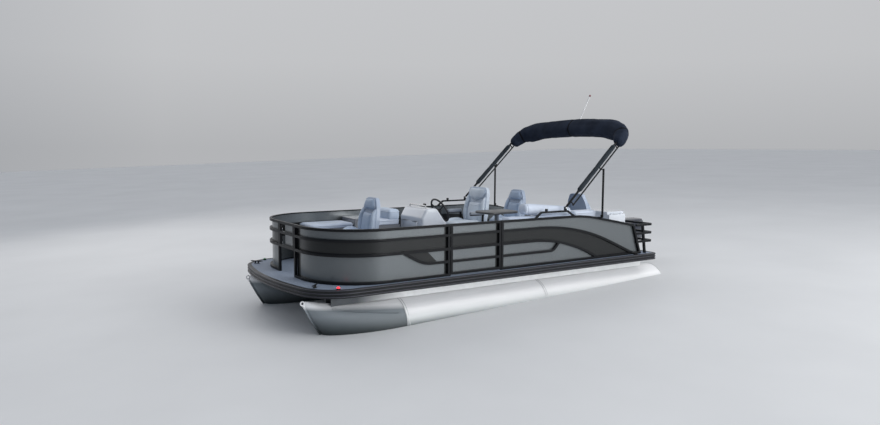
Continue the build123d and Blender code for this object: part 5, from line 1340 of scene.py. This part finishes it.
# Outboard cowl: rounded superellipses stacked up, |x|^n + |y|^n = 1 with n = 2.9, narrowed at the
# groove by a hump and drawn in at the foot, with a low hump on the front shoulder.
cowl = {
    # height over its foot, half length, half width, how far aft of the steering axis
    "rows": [(0.000, 0.282, 0.154, 0.278), (0.020, 0.300, 0.164, 0.280), (0.060, 0.320, 0.176, 0.288),
             (0.150, 0.322, 0.176, 0.290), (0.250, 0.305, 0.165, 0.292), (0.315, 0.272, 0.142, 0.300),
             (0.345, 0.222, 0.108, 0.308), (0.355, 0.130, 0.060, 0.315)],
    "steer": -0.522, "foot": 0.9123, "power": 2.9, "groove": 0.078, "band": 0.055,
    # out from the ring, up from its middle
    "bandProfile": [(-0.001, -0.006), (0.0025, -0.006), (0.0035, 0), (0.0025, 0.006), (-0.001, 0.006)],
    "vents": 5, "ventStep": 0.032,
}


def makeCowl():
    rows, foot = np.asarray(cowl["rows"]), cowl["foot"]
    z = np.concatenate([np.linspace(0, 0.30, 40), 0.30 + 0.055 * np.sin(np.linspace(0.1, math.pi / 2, 16))])
    height, long, wide, aft = throughKeys(rows[:, 0], rows, np.clip(z, 0, 0.3549)).T
    angle = around(96)
    ring = np.stack([np.cos(angle), np.sin(angle)])
    ring = np.sign(ring) * np.abs(ring) ** (2 / cowl["power"])
    size = (1 - 0.012 * hump(z, cowl["groove"], 0.004)) * (1 - 0.05 * smoothStep((0.02 - z) / 0.02))
    shoulder = 0.010 * hump(z, 0.23, 0.05)[:, None] * (np.cos(angle) < -0.3)
    x = (sternX + cowl["steer"] - aft)[:, None] + (long * size)[:, None] * ring[0] + shoulder
    y = (wide * size)[:, None] * ring[1]
    points = np.stack([x, y, np.broadcast_to(foot + z[:, None], x.shape)], axis=2)
    makePiece("cowl_cover", gridShape(points), "cowl", "outboard_steer", replaces="outboard_cowl", sharp=40)
    ring = points[int(np.argmin(np.abs(z - cowl["band"])))]
    band = sweepShape(ring, np.array(cowl["bandProfile"]), ring - ring.mean(axis=0), closed=True)
    makePiece("cowl_band", band, "cowlTrim", "outboard_steer", sharp=50)
    back = ring[:, 0].min()
    latch = roundBox((back - 0.008, -0.030, foot + 0.020), (back + 0.014, 0.030, foot + 0.048), 0.005,
                     0.008)
    vents = [roundBox((back + 0.005, y - 0.075, foot + 0.150), (back + 0.020, y - 0.053, foot + 0.190),
                      0.003, 0.006) for y in cowl["ventStep"] * np.arange(cowl["vents"])]
    makePiece("cowl_latch", [latch] + vents, "motor", "outboard_steer", sharp=45)


# Doors let into the bases, with turned latches; the port gate's latch; the canopy's pin heads.
doors = [
    # back, front, inboard y, low, high, side it faces, ink
    (3.440, 3.800, -0.6900, 0.060, 0.380, 1, "shellGray"),
    (4.180, 4.740, -0.6900, 0.060, 0.380, 1, "shellGray"),
    (1.160, 1.880, 0.6000, 0.050, 0.280, -1, "shellGray"),
    (1.940, 2.660, 0.6000, 0.050, 0.280, -1, "shellGray"),
    (0.600, 0.860, 0.6400, 0.060, 0.520, -1, "shell"),
]
latches = {
    "door": [(0.017, 0.0), (0.017, 0.004), (0.012, 0.0065), (0.004, 0.0070)], "doorDown": 0.045,
    "gateLow": (2.984, 1.136, 0.420), "gateHigh": (3.004, 1.1632, 0.500),
    "handle": [(2.994, 1.140, 0.470), (2.994, 1.124, 0.470), (3.044, 1.124, 0.470)],
    "pin": [(0.013, 0.0), (0.013, 0.005), (0.010, 0.008), (0.003, 0.009)], "pinOut": 0.013,
}


def makeSmallParts():
    plates = {"shellGray": [], "shell": []}
    turned = []
    for back, front, y, low, high, side, ink in doors:
        inner, outer = sorted((y - side * 0.002, y + side * 0.005))
        plates[ink].append(roundBox(at(back, inner, low), at(front, outer, high), 0.0022, 0.016))
        origin = at((back + front) / 2, y + side * 0.0045, high - latches["doorDown"])
        turned.append(latheShape(latches["door"], origin, (0, side, 0), 24))
    for ink, shapes in plates.items():
        makePiece(f"doors_{ink}", shapes, ink, sharp=40)
    makePiece("door_latches", turned, "steel", sharp=45)
    gate = roundBox(at(*latches["gateLow"]), at(*latches["gateHigh"]), 0.004, 0.006)
    handle = sweepShape(bentPath(onBoat(latches["handle"]), 0.008), circle(0.006, 12), upward)
    makePiece("port_gate_latch", [gate, handle], "blackMetal", "port_gate", sharp=45)
    pins = [latheShape(latches["pin"], onCanopy(0.0, side * canopy["arm"] + way * latches["pinOut"]),
                       (0, way, 0), 20) for side in (1, -1) for way in (1, -1)]
    makePiece("canopy_pin_heads", pins, "steel", sharp=45)


makeConsole()
makeDash()
makeConsoleFittings()
makeWheel()
makePosts()
makeCowl()
makeSmallParts()
print("console, wheel, posts, cowl and small parts made")

# Camera: fitted to the deck's edges, the rails and the nose eyes.
view = {
    "x": 8.499,               # from the stern edge
    "y": 8.027,
    "z": 2.448,
    "yaw": -2.16057331,
    "pitch": 0.0929930201,    # downwards
    "roll": 0.0055954931,
    "focal": 685.442356,      # pixels at a picture 880 wide
    "wide": 880.0,
    "sensor": 36.0,
}


def makeCamera():
    data = bpy.data.cameras.new("camera")
    data.sensor_width = view["sensor"]
    data.lens = view["focal"] / view["wide"] * view["sensor"]
    data.clip_end = 400
    flat = math.cos(view["pitch"])
    ahead = Vector((math.cos(view["yaw"]) * flat, math.sin(view["yaw"]) * flat, -math.sin(view["pitch"])))
    right = ahead.cross(Vector((0, 0, 1))).normalized()
    above = right.cross(ahead)
    turned = right * math.cos(view["roll"]) + above * math.sin(view["roll"])
    above = above * math.cos(view["roll"]) - right * math.sin(view["roll"])
    camera = addObject("camera", data)
    camera.matrix_world = placeOn(turned, above, -ahead, (sternX + view["x"], view["y"], view["z"]))
    bpy.context.scene.camera = camera


# The floor is a plane that falls towards the bow, because the boat is trimmed by the stern.
floorPlane = {"bowX": 5.40, "bowZ": 0.334, "fall": 2.0, "reach": 60.0}


def makeFloor():
    x = floorPlane["reach"] * np.array([-1, 1, 1, -1])
    y = floorPlane["reach"] * np.array([-1, -1, 1, 1])
    z = floorPlane["bowZ"] - (x - sternX - floorPlane["bowX"]) * math.tan(math.radians(floorPlane["fall"]))
    mesh = makeMesh("floor", (np.stack([x, y, z], axis=1), np.array([[0, 1, 2, 3]]), np.zeros((0, 3), int)))
    material, tree, shader = newMaterial("floor", Roughness=0.6)
    colour = ramp(tree, noiseField(tree, 0.5, 3), [(0.3, (0.74, 0.75, 0.76)), (0.7, (0.79, 0.80, 0.81))])
    tree.links.new(colour, shader.inputs["Base Color"])
    mesh.materials.append(material)
    addObject("floor", mesh)


# Soft light: four broad lamps, and a pale sky that brightens upwards and darkens towards the bow.
lamps = [
    # place, aimed at, size, watts, colour
    ((-6.0, 9.0, 9.0), (0.0, 0.5, 0.8), 11.0, 460.0, (1.0, 0.99, 0.97)),
    ((-6.3, 18.0, 5.6), (0.0, 1.0, 0.5), 9.0, 1250.0, (0.98, 0.99, 1.0)),
    ((8.0, 10.0, 6.0), (0.5, 0.0, 0.8), 9.0, 40.0, (0.94, 0.97, 1.0)),
    ((4.0, -9.0, 7.0), (0.0, 0.0, 1.0), 8.0, 200.0, (1.0, 0.97, 0.94)),
]
sky = {"upwards": [(0.0, (0.60, 0.61, 0.63)), (0.12, (0.72, 0.73, 0.75)), (0.7, (0.86, 0.88, 0.92))],
       "ahead": [(0.0, (1, 1, 1)), (1.0, (0.36, 0.40, 0.46))], "from": -0.2, "to": 0.8, "strength": 0.75}


def makeLight():
    for number, (place, target, size, watts, colour) in enumerate(lamps):
        data = bpy.data.lights.new(f"lamp{number}", "AREA")
        data.shape = "SQUARE"
        data.size = size
        data.energy = watts
        data.color = colour
        lamp = addObject(f"lamp{number}", data)
        lamp.location = place
        lamp.rotation_mode = "QUATERNION"
        lamp.rotation_quaternion = (Vector(target) - Vector(place)).to_track_quat("-Z", "Y")
    world = bpy.data.worlds.new("sky")
    bpy.context.scene.world = world
    world.use_nodes = True
    tree = world.node_tree
    place = addNode(tree, "ShaderNodeTexCoord").outputs["Generated"]
    place = addNode(tree, "ShaderNodeSeparateXYZ", Vector=place).outputs
    ahead = rampValue(tree, place["X"], 0, 1, sky["from"], sky["to"])
    back = tree.nodes["Background"]
    tree.links.new(tinted(tree, ramp(tree, place["Z"], sky["upwards"]), ahead, sky["ahead"]),
                   back.inputs["Color"])
    back.inputs["Strength"].default_value = sky["strength"]
    bpy.context.scene.view_settings.view_transform = "Standard"


makeCamera()
makeFloor()
makeLight()
print("camera, floor and lights made")
